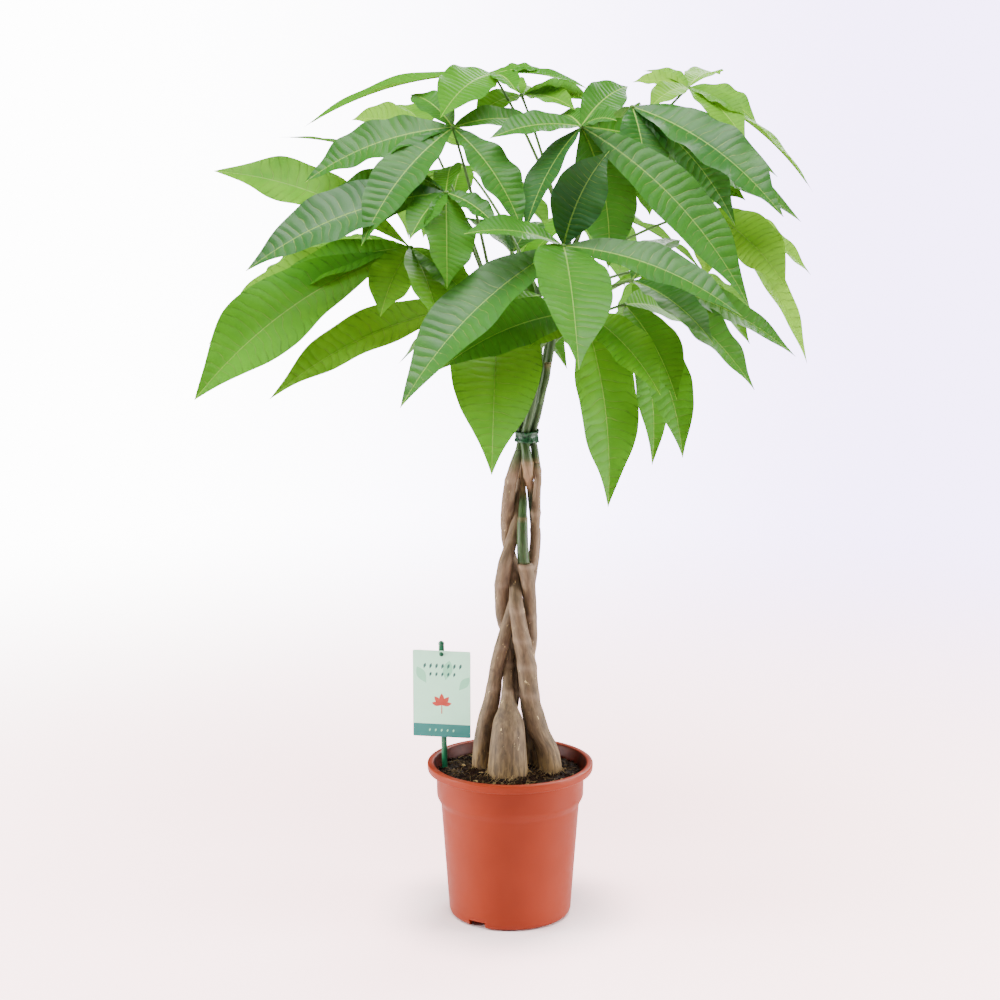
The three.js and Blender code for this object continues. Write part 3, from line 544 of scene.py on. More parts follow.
bladeShape = {
    "stepLength": 0.0016,
    "sideSteps": 6,
    "arch": 0.15,          # the rib's lift off its chord, as in the solids
    "keel": 0.12,          # how deep the rib lies below the edges
    "foot": 0.002,         # a leaflet's start, from the hub
    "belly": 0.49,         # where a leaflet is usually widest
    "edgeWave": 0.0024,
    "waves": (2.5, 4.5),   # along one edge
    "toneSpread": 0.12,    # between the leaflets of one leaf
    "puff": 0.0011,        # rise between two side veins
    "puffSpread": (0.55, 1.15),
    "veinStep": 0.0075,    # from one side vein to the next
    "veinLean": (0.08, 0.24),
    "veinWander": 0.45,    # in side vein steps
    "ribFoot": 0.0008,
    "ribTip": 0.0002,
    "ribSides": 6,
}


def backLeafTips(hub, facing, size, draw):
    look = backLook
    tips = []
    for leaflet in range(look["leaflets"]):
        spread = (leaflet / (look["leaflets"] - 1) - 0.5) * look["spread"]
        length = size * (0.6 + 0.4 * cos(radians(spread / 2))) * (0.92 + 0.16 * draw())
        bearing = radians(facing + spread + 14 * (draw() - 0.5))
        droop = radians(look["droop"] + 16 * (draw() - 0.5))
        tips.append((hub[0] + length * cos(droop) * cos(bearing),
                     hub[1] + length * cos(droop) * sin(bearing),
                     hub[2] - length * sin(droop), look["width"] * length, 0))
    return tips


def leafletHalf(share, width, belly):
    swell = max(0, sin(pi * min(share, 1) ** (log(0.5) / log(belly)))) ** 0.9
    return max(width / 2 * swell * (1 - 0.4 * smoothStep(0.7, 1, share)), 0.0005)


def curvePoint(start, control, end, share):
    return start * (1 - share) ** 2 + control * 2 * share * (1 - share) + end * share ** 2


def addLeaflet(shape, hub, row, age, draw):
    look = bladeShape
    tip = vec(row[:3])
    width = row[3] * mm
    roll = radians(row[4])
    belly = row[5] if len(row) > 5 else look["belly"]
    ageAndShadeShift = row[6] if len(row) > 6 else 0
    chord = tip - hub
    length = chord.length
    along = chord.normalized()
    lift = Vector((0, 0, 1)) + Vector((chord.x, chord.y, 0)).normalized() * 0.5
    lift = (lift - along * lift.dot(along)).normalized()
    control = (hub + tip) / 2 + lift * look["arch"] * length
    phase = draw.uniform(0, 6.28)
    waves = draw.uniform(*look["waves"])
    waveSize = look["edgeWave"] * draw.uniform(0.5, 1.2) * min(1, width / 0.05)
    # the shift adds age and painted shade on leaflets in shadow; below 0 it is painted light
    tone = clamp(age + draw.uniform(-look["toneSpread"], look["toneSpread"]) + ageAndShadeShift)
    # young blades are smoother
    quilt = look["puff"] * draw.uniform(*look["puffSpread"]) * clamp(0.2 + 1.6 * tone)
    veinStep = look["veinStep"] * clamp(length / 0.15, 0.72, 1.25)
    veinLean = draw.uniform(*look["veinLean"])
    lengthSteps = max(20, round(length / look["stepLength"]))
    rings = []
    ribPath = []
    ribRadii = []
    for step in range(lengthSteps + 1):
        share = look["foot"] / length + (1 - look["foot"] / length) * step / lengthSteps
        middle = curvePoint(hub, control, tip, share)
        tangent = ((control - hub) * (1 - share) + (tip - control) * share).normalized()
        acrossWay = Matrix.Rotation(roll, 3, tangent) @ tangent.cross(lift).normalized()
        up = acrossWay.cross(tangent).normalized()
        half = leafletHalf(share, width, belly)
        half *= 1 + 0.03 * noise.noise(Vector((share * 9, phase * 7, 0)))
        ring = []
        for column in range(-look["sideSteps"], look["sideSteps"] + 1):
            side = column / look["sideSteps"]
            reach = abs(side)
            away = reach * half
            place = middle + acrossWay * side * half
            vein = (share * length - veinLean * away - 6 * away ** 2) / veinStep
            vein += look["veinWander"] * noise.noise(place * 70)
            between = abs(sin(pi * vein)) ** 0.55 - 0.65
            puff = quilt * between * (4 * reach * (1 - reach)) ** 0.6 * min(1, half / 0.012)
            wave = waveSize * reach ** 2 * sin(waves * 6.28 * share + phase + (2.1 if side > 0 else 0))
            wave *= sin(pi * share)
            rise = look["keel"] * 2 * half * reach ** 1.15 + puff + wave
            ring.append(shape.point(place + up * rise, blade=(share, side, away / mm), vein=vein, tone=tone))
        rings.append(ring)
        if step % 5 == 0 and share < 0.97:
            radius = look["ribFoot"] + (look["ribTip"] - look["ribFoot"]) * share
            radius *= min(1, 0.5 + width / 0.1)
            ribPath.append(middle - up * radius * 0.75)
            ribRadii.append(radius)
    for lower, upper in zip(rings, rings[1:]):
        shape.band(lower, upper, closed=False)
    addTube(shape, ribPath, ribRadii, look["ribSides"], paint=1, tone=0.9)


def buildLeaves():
    draw = seededDraw(backLook["seed"])
    grown = list(leaves)
    for plant, foot, hub, age, facing, size in backLeaves:
        grown.append((plant, foot, hub, age, backLeafTips(hub, facing, size, draw)))
    for number, (plant, foot, hub, age, leaflets) in enumerate(grown):
        wobble = random.Random(700 + number)
        shape = Shape()
        for row in leaflets:
            addLeaflet(shape, vec(hub), row, age, wobble)
        shape.build(f"leaf_{number + 1:02d}", [bladeMaterial, stemMaterial], "leaf", f"leafy_shoot_{plant}")
    return grown


grownLeaves = buildLeaves()
print("leaves built:", len(grownLeaves))


# Stems.

stemLook = {
    "rowStep": 2.2,       # millimetres between two cuts
    "trunkSides": 40,
    "shootSides": 24,
    "fibreDepth": 0.16,   # millimetres
    "press": 0.6,         # how far the bark bulges where the trunks press on each other
    "lumpDepth": 0.5,
    "stalkFoot": 1.8,
    "stalkTop": 1.15,
    "stalkSides": 10,
    "stalkSteps": 26,
    "knotRadius": 2.7,    # the swollen top of a stalk, where its leaflets meet
    "knotStretch": (1, 1, 0.8),
}

# Leaf scars and rings on the stems: height, height of the ring and how far it stands out.
scars = {
    "left": [(238, 3, 0.4), (282, 3, 0.4), (330, 2.5, 0.4), (362, 2.5, 0.4), (418, 3, 0.8), (462, 3, 0.7)],
    "front": [(236, 3, 0.4), (262, 2.5, 0.5), (300, 3, 0.4), (345, 3, 0.5), (392, 2.5, 0.4)],
    "right": [(232, 4, 0.5), (262, 4, 0.6), (290, 3, 0.5), (322, 3, 0.5), (356, 2.5, 0.5), (404, 3, 0.5),
              (452, 3, 0.6)],
    "back_right": [(214, 3, 0.5), (246, 3, 0.4), (278, 3, 0.4), (312, 3, 0.4), (366, 2.2, 1.3),
                   (414, 1.1, 1.0), (446, 2, 0.5)],
    "back": [(230, 3, 0.4), (262, 3, 0.4), (300, 3, 0.4), (352, 3, 0.4), (456, 3, 0.8), (470, 3, 0.7)],
    "stub": [(571, 5, 0.5)],
}


# The place of the first row above a height.
def rowAbove(rows, height):
    return next((place for place in range(1, len(rows)) if rows[place][0] >= height), len(rows) - 1)


def stemPoint(rows, height):
    place = rowAbove(rows, height)
    low, high = rows[place - 1], rows[place]
    share = (height - low[0]) / (high[0] - low[0])
    return vec((low[1] + (high[1] - low[1]) * share, low[2] + (high[2] - low[2]) * share, height))


# Smooth values between a stem's rows.
def stemRow(rows, height):
    place = rowAbove(rows, height)
    before, low, high = rows[max(place - 2, 0)], rows[place - 1], rows[place]
    after = rows[min(place + 1, len(rows) - 1)]
    span = high[0] - low[0]
    share = clamp((height - low[0]) / span)
    cube, square = share ** 3, share ** 2
    values = []
    for part in (1, 2, 3):
        slopeLow = (high[part] - before[part]) / (high[0] - before[0]) * span
        slopeHigh = (after[part] - low[part]) / (after[0] - low[0]) * span
        values.append(
            (2 * cube - 3 * square + 1) * low[part] + (cube - 2 * square + share) * slopeLow
            + (3 * square - 2 * cube) * high[part] + (cube - square) * slopeHigh)
    return values


# A stem of bark (paint 0) or of green skin (paint 1); depth is how rough it is.
def addStem(shape, name, rows, sides, paint, depth, tone):
    look = stemLook
    steps = max(2, round((rows[-1][0] - rows[0][0]) / look["rowStep"]))
    travelled = 0.0
    last = None
    lines = []
    for step in range(steps + 1):
        height = rows[0][0] + (rows[-1][0] - rows[0][0]) * step / steps
        x, y, radius = stemRow(rows, height)
        middle = Vector((x, y, height))
        travelled += (middle - last).length if last else 0.0
        last = middle
        if paint:
            swell = 0.0
            scar = smoothStep(430, 446, height) * (1 - smoothStep(464, 478, height))
        else:
            swell = look["press"] * smoothStep(190, 225, height) * (1 - smoothStep(425, 445, height))
            scar = 0.0
        for place, tall, proud in scars[name]:
            near = exp(-((height - place) / tall) ** 2)
            swell += proud * near
            scar = max(scar, near * min(1, proud / 0.8))
        line = []
        for cosine, sine in circle(sides):
            grain = vec((radius * cosine, radius * sine, travelled))
            fine = noise.noise(Vector((grain.x * 900, grain.y * 900, grain.z * 45 + radius)))
            coarse = noise.noise(Vector((grain.x * 120, grain.y * 120, grain.z * 22 + 7)))
            lump = depth * look["lumpDepth"] * coarse * min(1, radius / 12)
            reach = radius + swell + depth * look["fibreDepth"] * fine + lump
            line.append(shape.point(vec((x + reach * cosine, y + reach * sine, height)), grain=grain,
                                    tone=tone if paint else clamp(-1.6 * fine), scar=scar))
        lines.append(line)
    shape.skin(lines, paint)


def addStalk(shape, start, end, age):
    look = stemLook
    span = (end - start).length
    control = (start + end) / 2 + Vector((0, 0, 0.12 * span))
    shares = [step / look["stalkSteps"] for step in range(look["stalkSteps"] + 1)]
    radii = []
    for share in shares:
        radius = look["stalkFoot"] + (look["stalkTop"] - look["stalkFoot"]) * share
        radius += 0.9 * exp(-(share * span / 0.006) ** 2)
        radius += 0.7 * exp(-((1 - share) * span / 0.007) ** 2)
        radii.append(radius * mm)
    path = [curvePoint(start, control, end, share) for share in shares]
    addTube(shape, path, radii, look["stalkSides"], tone=0.35 + 0.4 * (1 - age))
    addKnob(shape, end, look["knotRadius"] * mm, look["knotStretch"], 6, 10, tone=0.8)


def buildStems():
    look = stemLook
    for name, stem in plants.items():
        trunk = Shape()
        addStem(trunk, name, stem["bark"], look["trunkSides"], 0, 1.0, 0.0)
        trunk.build(f"bark_{name}", [barkMaterial], "bark", f"trunk_{name}", sharp=60)
        shoot = Shape()
        addStem(shoot, name, stem["green"], look["shootSides"], 1, 0.25, 0.1)
        if name == "left":
            addStem(shoot, "stub", cutStub, look["shootSides"], 1, 0.25, 0.2)
        for plant, foot, hub, age, leaflets in grownLeaves:
            if plant == name:
                addStalk(shoot, stemPoint(stem["green"], foot), vec(hub), age)
        shoot.build(f"green_shoot_{name}", [stemMaterial, stemMaterial], "leaf", f"leafy_shoot_{name}")


buildStems()
print("stems built")


# Pot.

potLook = {
    "sides": 160,
    "rounding": 0.0022,
    "footRounding": 0.0045,
    "height": 0.160,
    "rim": 0.085,
    "mouth": 0.078,
    "lip": 0.0085,
    "collar": 0.0756,
    "collarFoot": 0.125,
    "bodyTopRadius": 0.0709,
    "bodyTop": 0.117,
    "base": 0.0628,
    "wall": 0.0015,
    "floorRise": 0.008,
    "boss": 0.026,
    "crease": 0.104,
    "drainHoles": 6,
    "drainRadius": 0.004,
    "drainSides": 24,
    "drainCircle": 0.043,
    "notch": (0.019, 0.007),
    "notchBearings": (-123, 57),
    "sharpEdge": 28,     # degrees
}


# Polypropylene, injection-moulded: even terracotta colour, satin, with broad soft highlights
# and a very fine pebble from the mould; painted shade darkens the inner wall.
def mouldedPolypropylene(node):
    place = node("TexCoord", out="Object")
    cloud = node("TexNoise", (place, 14, 2))
    colour = node("ValToRGB", [cloud], stops=[(0.3, "#7A2810"), (0.7, "#822C14")])
    # painted shade: the surfaces facing inwards, the inner wall, are darkened in patches to a dark brown
    outwards = node("VectorMath", (place, (1, 1, 0)), **times)
    outwards = node("VectorMath", [outwards], operation="NORMALIZE")
    outwards = node("VectorMath", (outwards, node("TexCoord", out="Normal")), operation="DOT_PRODUCT")
    innerWallShade = node("MapRange", (outwards, -0.75, -0.25, 0.92, 0), **smooth)
    potPatchNoise = node("TexNoise", (place, 45, 4, 0.7))
    shadePatches = node("MapRange", (potPatchNoise, 0.3, 0.6, 0.7, 1))
    innerWallShade = node("Math", (innerWallShade, shadePatches), **times)
    colour = node("Mix", (innerWallShade, colour, "#2A0F08"), **mixed)
    gloss = node("MapRange", (potPatchNoise, 0.35, 0.7, 0.42, 0.52))
    # pebble about 1.2 mm across, drawn coarser than the real one so that it shows
    pebble = node("TexNoise", (place, 800, 2))
    bump = node("Bump", {"Height": pebble, "Strength": 0.12, "Distance": 0.0003})
    return node("BsdfPrincipled", {
        "Base Color": colour, "Roughness": gloss, "IOR": 1.49, "Specular IOR Level": 0.13,
        "Normal": bump})


# Corners of an outline, each rounded by a short curve.
def roundedOutline(corners, radius, steps=4):
    corners = [Vector(corner) for corner in corners]
    outline = [corners[0]]
    for before, corner, after in zip(corners, corners[1:], corners[2:]):
        reach = min(radius, (corner - before).length * 0.45, (after - corner).length * 0.45)
        start = corner + (before - corner).normalized() * reach
        end = corner + (after - corner).normalized() * reach
        outline += [curvePoint(start, corner, end, step / steps) for step in range(steps + 1)]
    return [*outline, corners[-1]]


def cutAway(piece, cutter):
    modifier = piece.modifiers.new("cut", "BOOLEAN")
    modifier.object = cutter
    modifier.operation = "DIFFERENCE"
    modifier.solver = "EXACT"
    bpy.context.view_layer.update()
    whole = bpy.data.meshes.new_from_object(piece.evaluated_get(bpy.context.evaluated_depsgraph_get()))
    piece.modifiers.clear()
    piece.data = whole
    bpy.data.objects.remove(cutter)


def addBox(shape, low, high, turn):
    corners = ((low[0], low[1]), (high[0], low[1]), (high[0], high[1]), (low[0], high[1]))
    shape.skin([[shape.point(turn @ Vector((x, y, z))) for x, y in corners] for z in (low[2], high[2])])


def buildPot():
    look = potLook
    wall, rise, base, boss = look["wall"], look["floorRise"], look["base"], look["boss"]
    collar, bodyTop, top = look["collar"], look["bodyTopRadius"], look["height"]
    lipUnder = top - look["lip"]
    outside = [
        (0, 0), (boss, 0), (boss + 0.003, rise), (base - 0.0062, rise),
        (base - look["footRounding"] - 0.0005, 0), (base - look["footRounding"], 0),
        (base - 0.0012, 0.0014), (base, look["footRounding"]),
        (base + (bodyTop - base) * 0.88, look["crease"]),
        (base + (bodyTop - base) * 0.905, look["crease"] + 0.0025), (bodyTop, look["bodyTop"]),
        (collar - 0.0005, look["collarFoot"]), (collar, lipUnder - 0.001),
        (look["rim"] - 0.0006, lipUnder), (look["rim"], top), (look["mouth"], top),
        (collar - wall, lipUnder - 0.004), (collar - wall - 0.0005, look["collarFoot"] + 0.0006),
        (bodyTop - wall, look["bodyTop"] + 0.0006), (base - 0.0009, rise + wall),
        (boss + 0.0045, rise + wall), (boss + 0.0015, wall), (0, wall),
    ]
    shape = Shape()
    outline = roundedOutline(outside, look["rounding"])
    tips = [shape.point((0, 0, outline[end][1])) for end in (0, -1)]
    shape.skin([shape.ring(look["sides"], r, z) for r, z in outline[1:-1]], tips=tips)
    plastic = makeMaterial("terracotta polypropylene, moulded", mouldedPolypropylene)
    pot = shape.build("nursery_pot", [plastic], "pot_plastic", "pot")
    cutters = Shape()
    for hole in range(look["drainHoles"]):
        angle = 2 * pi * (hole + 0.5) / look["drainHoles"]
        centre = (look["drainCircle"] * cos(angle), look["drainCircle"] * sin(angle))
        cutters.skin([cutters.ring(look["drainSides"], look["drainRadius"], height, centre)
                      for height in (rise - 0.006, rise + 0.006)])
    wide, tall = look["notch"]
    for bearing in look["notchBearings"]:
        addBox(cutters, (base - 0.011, -wide / 2, -tall), (base + 0.007, wide / 2, tall),
               Matrix.Rotation(radians(bearing), 3, "Z"))
    cutAway(pot, cutters.build("cutters"))
    pot.data.polygons.foreach_set("use_smooth", [True] * len(pot.data.polygons))
    pot.data.set_sharp_from_angle(angle=radians(look["sharpEdge"]))


buildPot()
print("pot built")


# Soil, in millimetres.

soilLook = {
    "top": 148.5,
    "sides": 150,
    "ringStep": 1.6,
    "crumbReach": 72.5,
    "fibreReach": 70,
    "bank": 2.2,
    "bankWidth": 5,
    "crumbs": 2600,
    "crumbSizes": (0.5, 1.5),
    "fibres": 260,
    "fibreLengths": (5, 17),
    "rootFibres": 30,    # at each trunk
    "rootLengths": (3, 9),
    "paleBits": 46,
    "paleSizes": (1.0, 2.4),
    "seed": 5,
}


def soilHeight(x, y):
    ripple = sin(0.16 * x + 1.1) * cos(0.14 * y - 0.6) + 0.5 * sin(0.31 * x - 0.27 * y)
    return soilLook["top"] + 2.5 * cos(hypot(x, y) / 74 * pi / 2) + 0.9 * ripple


# The peat is banked up against each trunk.
def soilBank(x, y):
    bank = 0.0
    for stem in plants.values():
        level = next(row for row in stem["bark"] if row[0] >= soilLook["top"] - 1)
        away = hypot(x - level[1], y - level[2]) - level[3]
        bank = max(bank, exp(-(max(away, 0) / soilLook["bankWidth"]) ** 2))
    return soilLook["bank"] * bank


def soilSurface(x, y, lift=0.0):
    rough = noise.fractal(Vector((x / 9, y / 9, 3.1)), 0.8, 2.1, 4)
    return Vector((x, y, soilHeight(x, y) + 1.1 * rough + soilBank(x, y) + lift))


# Peat, damp and crumbled: very dark brown, dull, with paler dry grains.
def dampPeat(node):
    tone = node("Attribute", out="Fac", attribute_name="tone")
    place = node("TexCoord", out="Object")
    grains = node("TexNoise", (place, 520, 5, 0.7))
    damp = node("TexNoise", (place, 60, 2))
    colour = node("ValToRGB", [grains], stops=[(0.3, "#080402"), (0.5, "#170B05"), (0.72, "#361B0B")])
    colour = node("Mix", (tone, colour, "#A98E60"), **mixed)
    gloss = node("MapRange", (damp, 0.4, 0.65, 0.6, 0.92))
    bump = node("Bump", {"Height": grains, "Strength": 1, "Distance": 0.0012})
    return node("BsdfPrincipled", {
        "Base Color": colour, "Roughness": gloss, "IOR": 1.4, "Specular IOR Level": 0.12,
        "Normal": bump})


def buildPeat(peat):
    look, pot = soilLook, potLook
    gap = 0.0003
    wall, under = pot["wall"] + gap, pot["floorRise"] + pot["wall"] + gap
    edge = pot["collar"] - wall
    outline = [
        (pot["boss"] + 0.0015 - gap, wall), (pot["boss"] + 0.0045 - gap, under),
        (pot["base"] - 0.0009 - gap, under), (pot["bodyTopRadius"] - wall, pot["bodyTop"] + 0.0006),
        (edge - 0.0005, pot["collarFoot"] + 0.0006), (edge, (look["top"] - 3) * mm),
    ]
    shape = Shape()
    start = shape.point((0, 0, wall), tone=0.0)
    lines = [shape.ring(look["sides"], r, z, tone=0.0) for r, z in outline]
    reach = edge / mm
    while reach > 2:
        drop = 1.4 * smoothStep(66, 74, reach)
        lines.append([shape.point(soilSurface(reach * x, reach * y, -drop) * mm, tone=0.0)
                      for x, y in circle(look["sides"])])
        reach -= look["ringStep"]
    shape.skin(lines, tips=(start, shape.point(soilSurface(0, 0) * mm, tone=0.0)))
    shape.build("peat", [peat], "soil", "soil")


crumbWays = [
    (0, 0, 1), *[(0.85 * cos(1.2566 * k), 0.85 * sin(1.2566 * k), 0.5) for k in range(5)],
    *[(0.85 * cos(1.2566 * (k + 0.5)), 0.85 * sin(1.2566 * (k + 0.5)), -0.5) for k in range(5)],
    (0, 0, -1)]


def addCrumb(shape, centre, size, tone, draw):
    squash = Vector((draw.uniform(0.7, 1.4), draw.uniform(0.7, 1.4), draw.uniform(0.5, 0.9)))
    turn = Matrix.Rotation(draw.uniform(0, 6.283), 3, "Z")
    corners = []
    for way in crumbWays:
        place = turn @ (Vector(way) * squash * size * draw.uniform(0.75, 1.2))
        corners.append(shape.point((centre + place) * mm, tone=tone))
    for k in range(5):
        high, highNext, low, lowNext = 1 + k, 1 + (k + 1) % 5, 6 + k, 6 + (k + 1) % 5
        for face in ((0, high, highNext), (high, low, highNext), (highNext, low, lowNext),
                     (low, 11, lowNext)):
            shape.face([corners[corner] for corner in face])


# A place drawn evenly from the soil's round surface.
def drawPlace(draw, reach):
    away, angle = reach * sqrt(draw.random()), draw.uniform(0, 6.283)
    return away * cos(angle), away * sin(angle)


def buildCrumbs(peat):
    look = soilLook
    draw = random.Random(look["seed"])
    shape = Shape()
    for number in range(look["crumbs"] + look["paleBits"]):
        pale = number >= look["crumbs"]
        x, y = drawPlace(draw, look["crumbReach"])
        size = draw.uniform(*look["paleSizes" if pale else "crumbSizes"])
        if draw.random() < 0.08:
            size *= 1.9
        tone = draw.uniform(0.35, 0.95) if pale else draw.choice((0, 0, 0, 0.02, 0.06, 0.16))
        addCrumb(shape, soilSurface(x, y, size * 0.2), size, tone, draw)
    for number in range(look["fibres"]):
        x, y = drawPlace(draw, look["fibreReach"])
        heading, length = draw.uniform(0, 6.283), draw.uniform(*look["fibreLengths"])
        bend = draw.uniform(-1.2, 1.2)
        path = []
        for step in range(7):
            share = step / 6
            turn = heading + bend * share
            fibreX, fibreY = x + length * share * cos(turn), y + length * share * sin(turn)
            if hypot(fibreX, fibreY) > look["fibreReach"] + 2:
                break
            lift = 0.5 + 1.4 * sin(pi * share) * draw.random()
            path.append(soilSurface(fibreX, fibreY, lift) * mm)
        if len(path) > 3:
            radius = draw.uniform(0.16, 0.42) * mm
            radii = [radius * (1 - 0.6 * place / len(path)) for place in range(len(path))]
            addTube(shape, path, radii, 5, tone=draw.choice((0.05, 0.15, 0.3, 0.5)))
    for stem in plants.values():
        level = next(row for row in stem["bark"] if row[0] >= look["top"])
        for number in range(look["rootFibres"]):
            angle, length = draw.uniform(0, 6.283), draw.uniform(*look["rootLengths"])
            bend = draw.uniform(-1.0, 1.0)
            path = []
            for step in range(6):
                share = step / 5
                out = level[3] - 0.8 + length * share
                turn = angle + bend * share * length / 12
                lift = 5 * (1 - share) ** 2 * draw.uniform(0.8, 1.0) + 0.4
                path.append(soilSurface(level[1] + out * cos(turn),
                                        level[2] + out * sin(turn), lift) * mm)
            radius = draw.uniform(0.14, 0.34) * mm
            addTube(shape, path, [radius * (1 - 0.12 * place) for place in range(6)], 5,
                    tone=draw.uniform(0.5, 1.0))
    shape.build("peat_crumbs", [peat], "soil")


peatMaterial = makeMaterial("peat, damp and crumbled", dampPeat)
buildPeat(peatMaterial)
buildCrumbs(peatMaterial)
print("soil built")


# Tie.

tieLook = {
    "low": 0.4905,
    "high": 0.502,
    "centre": (0.0164, 0.0015),
    "reach": (0.0118, 0.0159),
    "thickness": 0.0006,
    "sides": 90,
    "levels": 9,
}


# Polyethylene tape, rolled: dark green and glossy, with small creases that glint.
def rolledTape(node):
    place = node("TexCoord", out="Object")
    crease = node("TexNoise", {"Vector": place, "Scale": 260, "Detail": 3, "Distortion": 1.5})
    colour = node("ValToRGB", [crease], stops=[(0.35, "#08200F"), (0.65, "#174826")])
    bump = node("Bump", {"Height": crease, "Strength": 0.5, "Distance": 0.0006})
    return node("BsdfPrincipled", {
        "Base Color": colour, "Roughness": 0.4, "IOR": 1.5, "Specular IOR Level": 0.28, "Normal": bump})


def buildTie():
    look = tieLook
    shape = Shape()
    shares = [level / (look["levels"] - 1) for level in range(look["levels"])]
    lines = []
    for inward, share in [(0, share) for share in shares] + [(-1, share) for share in reversed(shares)]:
        line = []
        for side, (x, y) in enumerate(circle(look["sides"])):
            fold = noise.fractal(Vector((4 * x, 4 * y, share * 4)), 0.8, 2.0, 2)
            pinch = -0.0006 * cos(2 * pi * (share - 0.5)) + 0.0009 * fold
            reach = [part + pinch + inward * look["thickness"] for part in look["reach"]]
            slope = 0.0012 * sin(2 * pi * side / look["sides"] + 0.6) * (share - 0.5)
            line.append(shape.point((look["centre"][0] + reach[0] * x, look["centre"][1] + reach[1] * y,
                                     look["low"] + (look["high"] - look["low"]) * share + slope)))
        lines.append(line)
    for lower, upper in zip(lines, [*lines[1:], lines[0]]):
        shape.band(lower, upper)
    tape = makeMaterial("green polyethylene tape, rolled", rolledTape)
    shape.build("green_tape", [tape], "tie_plastic", "tie")


buildTie()
print("tie built")


# Plant label.

labelLook = {
    "width": 0.06,
    "height": 0.091,
    "thickness": 0.0008,
    "corner": 0.0014,
    "holeDrop": 0.0036,
    "offset": 0.0002,
    "turn": -10,
    "lean": 1.4,
    "stakeX": -0.0672,
    "stakeY": 0.011,
    "stakeWidth": 0.0056,
    "stakeDepth": 0.0022,
    "stakeBevel": 0.0005,
    "stakeFoot": 0.119,
    "stakeTop": 0.279,
    "pegRadius": 0.0019,
    "knobRadius": 0.0031,
    "holeRadius": 0.0024,
    "holeSides": 28,
    "pegHeight": 0.27,
    "soil": 0.1485,
    "bandShare": 0.15,
    "ink": 0.00006,
    "mint": "#C0FCD6",
    # each printed leaf: its foot's x and share of the height, bearing, length and width
    "sprig": [(0, 0.37, bearing, 0.0125 * size, 0.0052 * size) for bearing, size in (
        (-78, 0.85), (-40, 0.95), (0, 1.0), (40, 0.95), (78, 0.85))],
    "ghosts": [(-0.016, 0.62, -30, 0.0198, 0.00935), (0.004, 0.66, 12, 0.0216, 0.0102),
               (0.018, 0.55, 38, 0.018, 0.0085)],
    # rows of printed marks: how many on each side, x, share of the height, length, width, the ink,
    # and its highest and lowest layer
    "marks": [(3, 0, 0.79, 0.0062, 0.0026, 3, 1, 0), (2, 0, 0.7, 0.0052, 0.0024, 3, 1, 0),
              (2, -0.0007, 0.06, 0.0034, 0.0018, 2, 2, 1)],
    "markStep": 0.0062,
    "markBearing": 18,
    "inks": [("teal", "#1F746C"), ("coral", "#C23A2A"), ("pale green", "#90DBAE"),
             ("dark green", "#2F6658")],
}


# Polystyrene card, printed and laminated: smooth, pale and faintly glossy.
def printedCard(node, hexColour):
    place = node("TexCoord", out="Object")
    haze = node("TexNoise", (place, 90, 2))
    shade = node("MapRange", (haze, 0, 1, 0.94, 1.04))
    shade = node("CombineColor", (shade, shade, shade))
    tint = node("Mix", (1, hexColour, shade), **darkened)
    dust = node("MapRange", (haze, 0, 1, 0.3, 0.42))
    return node("BsdfPrincipled", {"Base Color": tint, "Roughness": dust, "IOR": 1.5})


# Polypropylene, injection-moulded in dark green: glossy, with soft flow marks along the bar.
def stakePlastic(node):
    place = node("TexCoord", out="Object")
    flow = node("VectorMath", (place, (300, 300, 25)), **times)
    flow = node("TexNoise", (flow, 1, 2))
    colour = node("ValToRGB", [flow], stops=[(0.35, "#165038"), (0.65, "#227048")])
    bump = node("Bump", {"Height": flow, "Strength": 0.2, "Distance": 0.0003})
    return node("BsdfPrincipled", {
        "Base Color": colour, "Roughness": 0.3, "IOR": 1.49, "Normal": bump})


# Where a point drawn on the stake's upright axis lies on the leaning, turned stake.
def onStake(place):
    look = labelLook
    raised = Vector(place) - Vector((0, 0, look["soil"]))
    leaned = Matrix.Rotation(radians(-look["lean"]), 3, "Y") @ raised
    turned = Matrix.Rotation(radians(look["turn"]), 3, "Z") @ leaned
    return turned + Vector((look["stakeX"], look["stakeY"], look["soil"]))


# Where a point of the card lies: x along it, y out of its back, z down from its hole.
def onCard(place):
    look = labelLook
    rise = look["pegHeight"] - look["soil"]
    hole = Vector((look["stakeX"] - rise * sin(radians(look["lean"])),
                   look["stakeY"] - look["stakeDepth"] / 2 - 0.00045, look["pegHeight"]))
    return Matrix.Rotation(radians(look["turn"]), 3, "Z") @ Vector(place) + hole


def roundedRectangle(left, right, bottom, top, corner, steps=6):
    outline = []
    centres = [(right - corner, bottom + corner), (right - corner, top - corner),
               (left + corner, top - corner), (left + corner, bottom + corner)]
    for turn, (x, z) in enumerate(centres):
        for step in range(steps + 1):
            angle = pi / 2 * (turn - 1 + step / steps)
            outline.append((x + corner * cos(angle), z + corner * sin(angle)))
    return outline


# A sheet of any outline on the card, between two depths from the card's back.
def addSheet(shape, outline, front, back, paint=0):
    shape.skin([[shape.point(onCard((x, y, z))) for x, z in outline] for y in (back, front)], paint)


# Printed ink of any outline, between two levels that count in layers of ink.
def addInk(shape, outline, paint, high=1.0, low=0.0):
    thick, ink = labelLook["thickness"], labelLook["ink"]
    addSheet(shape, outline, -thick - ink * high, -thick - ink * low, paint)


def leafOutline(x, heightShare, bearing, length, width, steps=10):
    look = labelLook
    footX = look["offset"] + x
    footZ = look["holeDrop"] - look["height"] + look["height"] * heightShare
    way = (sin(radians(bearing)), cos(radians(bearing)))
    outline = []
    for sign in (1, -1):
        for step in range(steps):
            share = step / steps if sign > 0 else 1 - step / steps
            half = sign * width / 2 * sin(pi * share ** 1.15)
            outline.append((footX + way[0] * length * share + way[1] * half,
                            footZ + way[1] * length * share - way[0] * half))
    return outline[::-1]


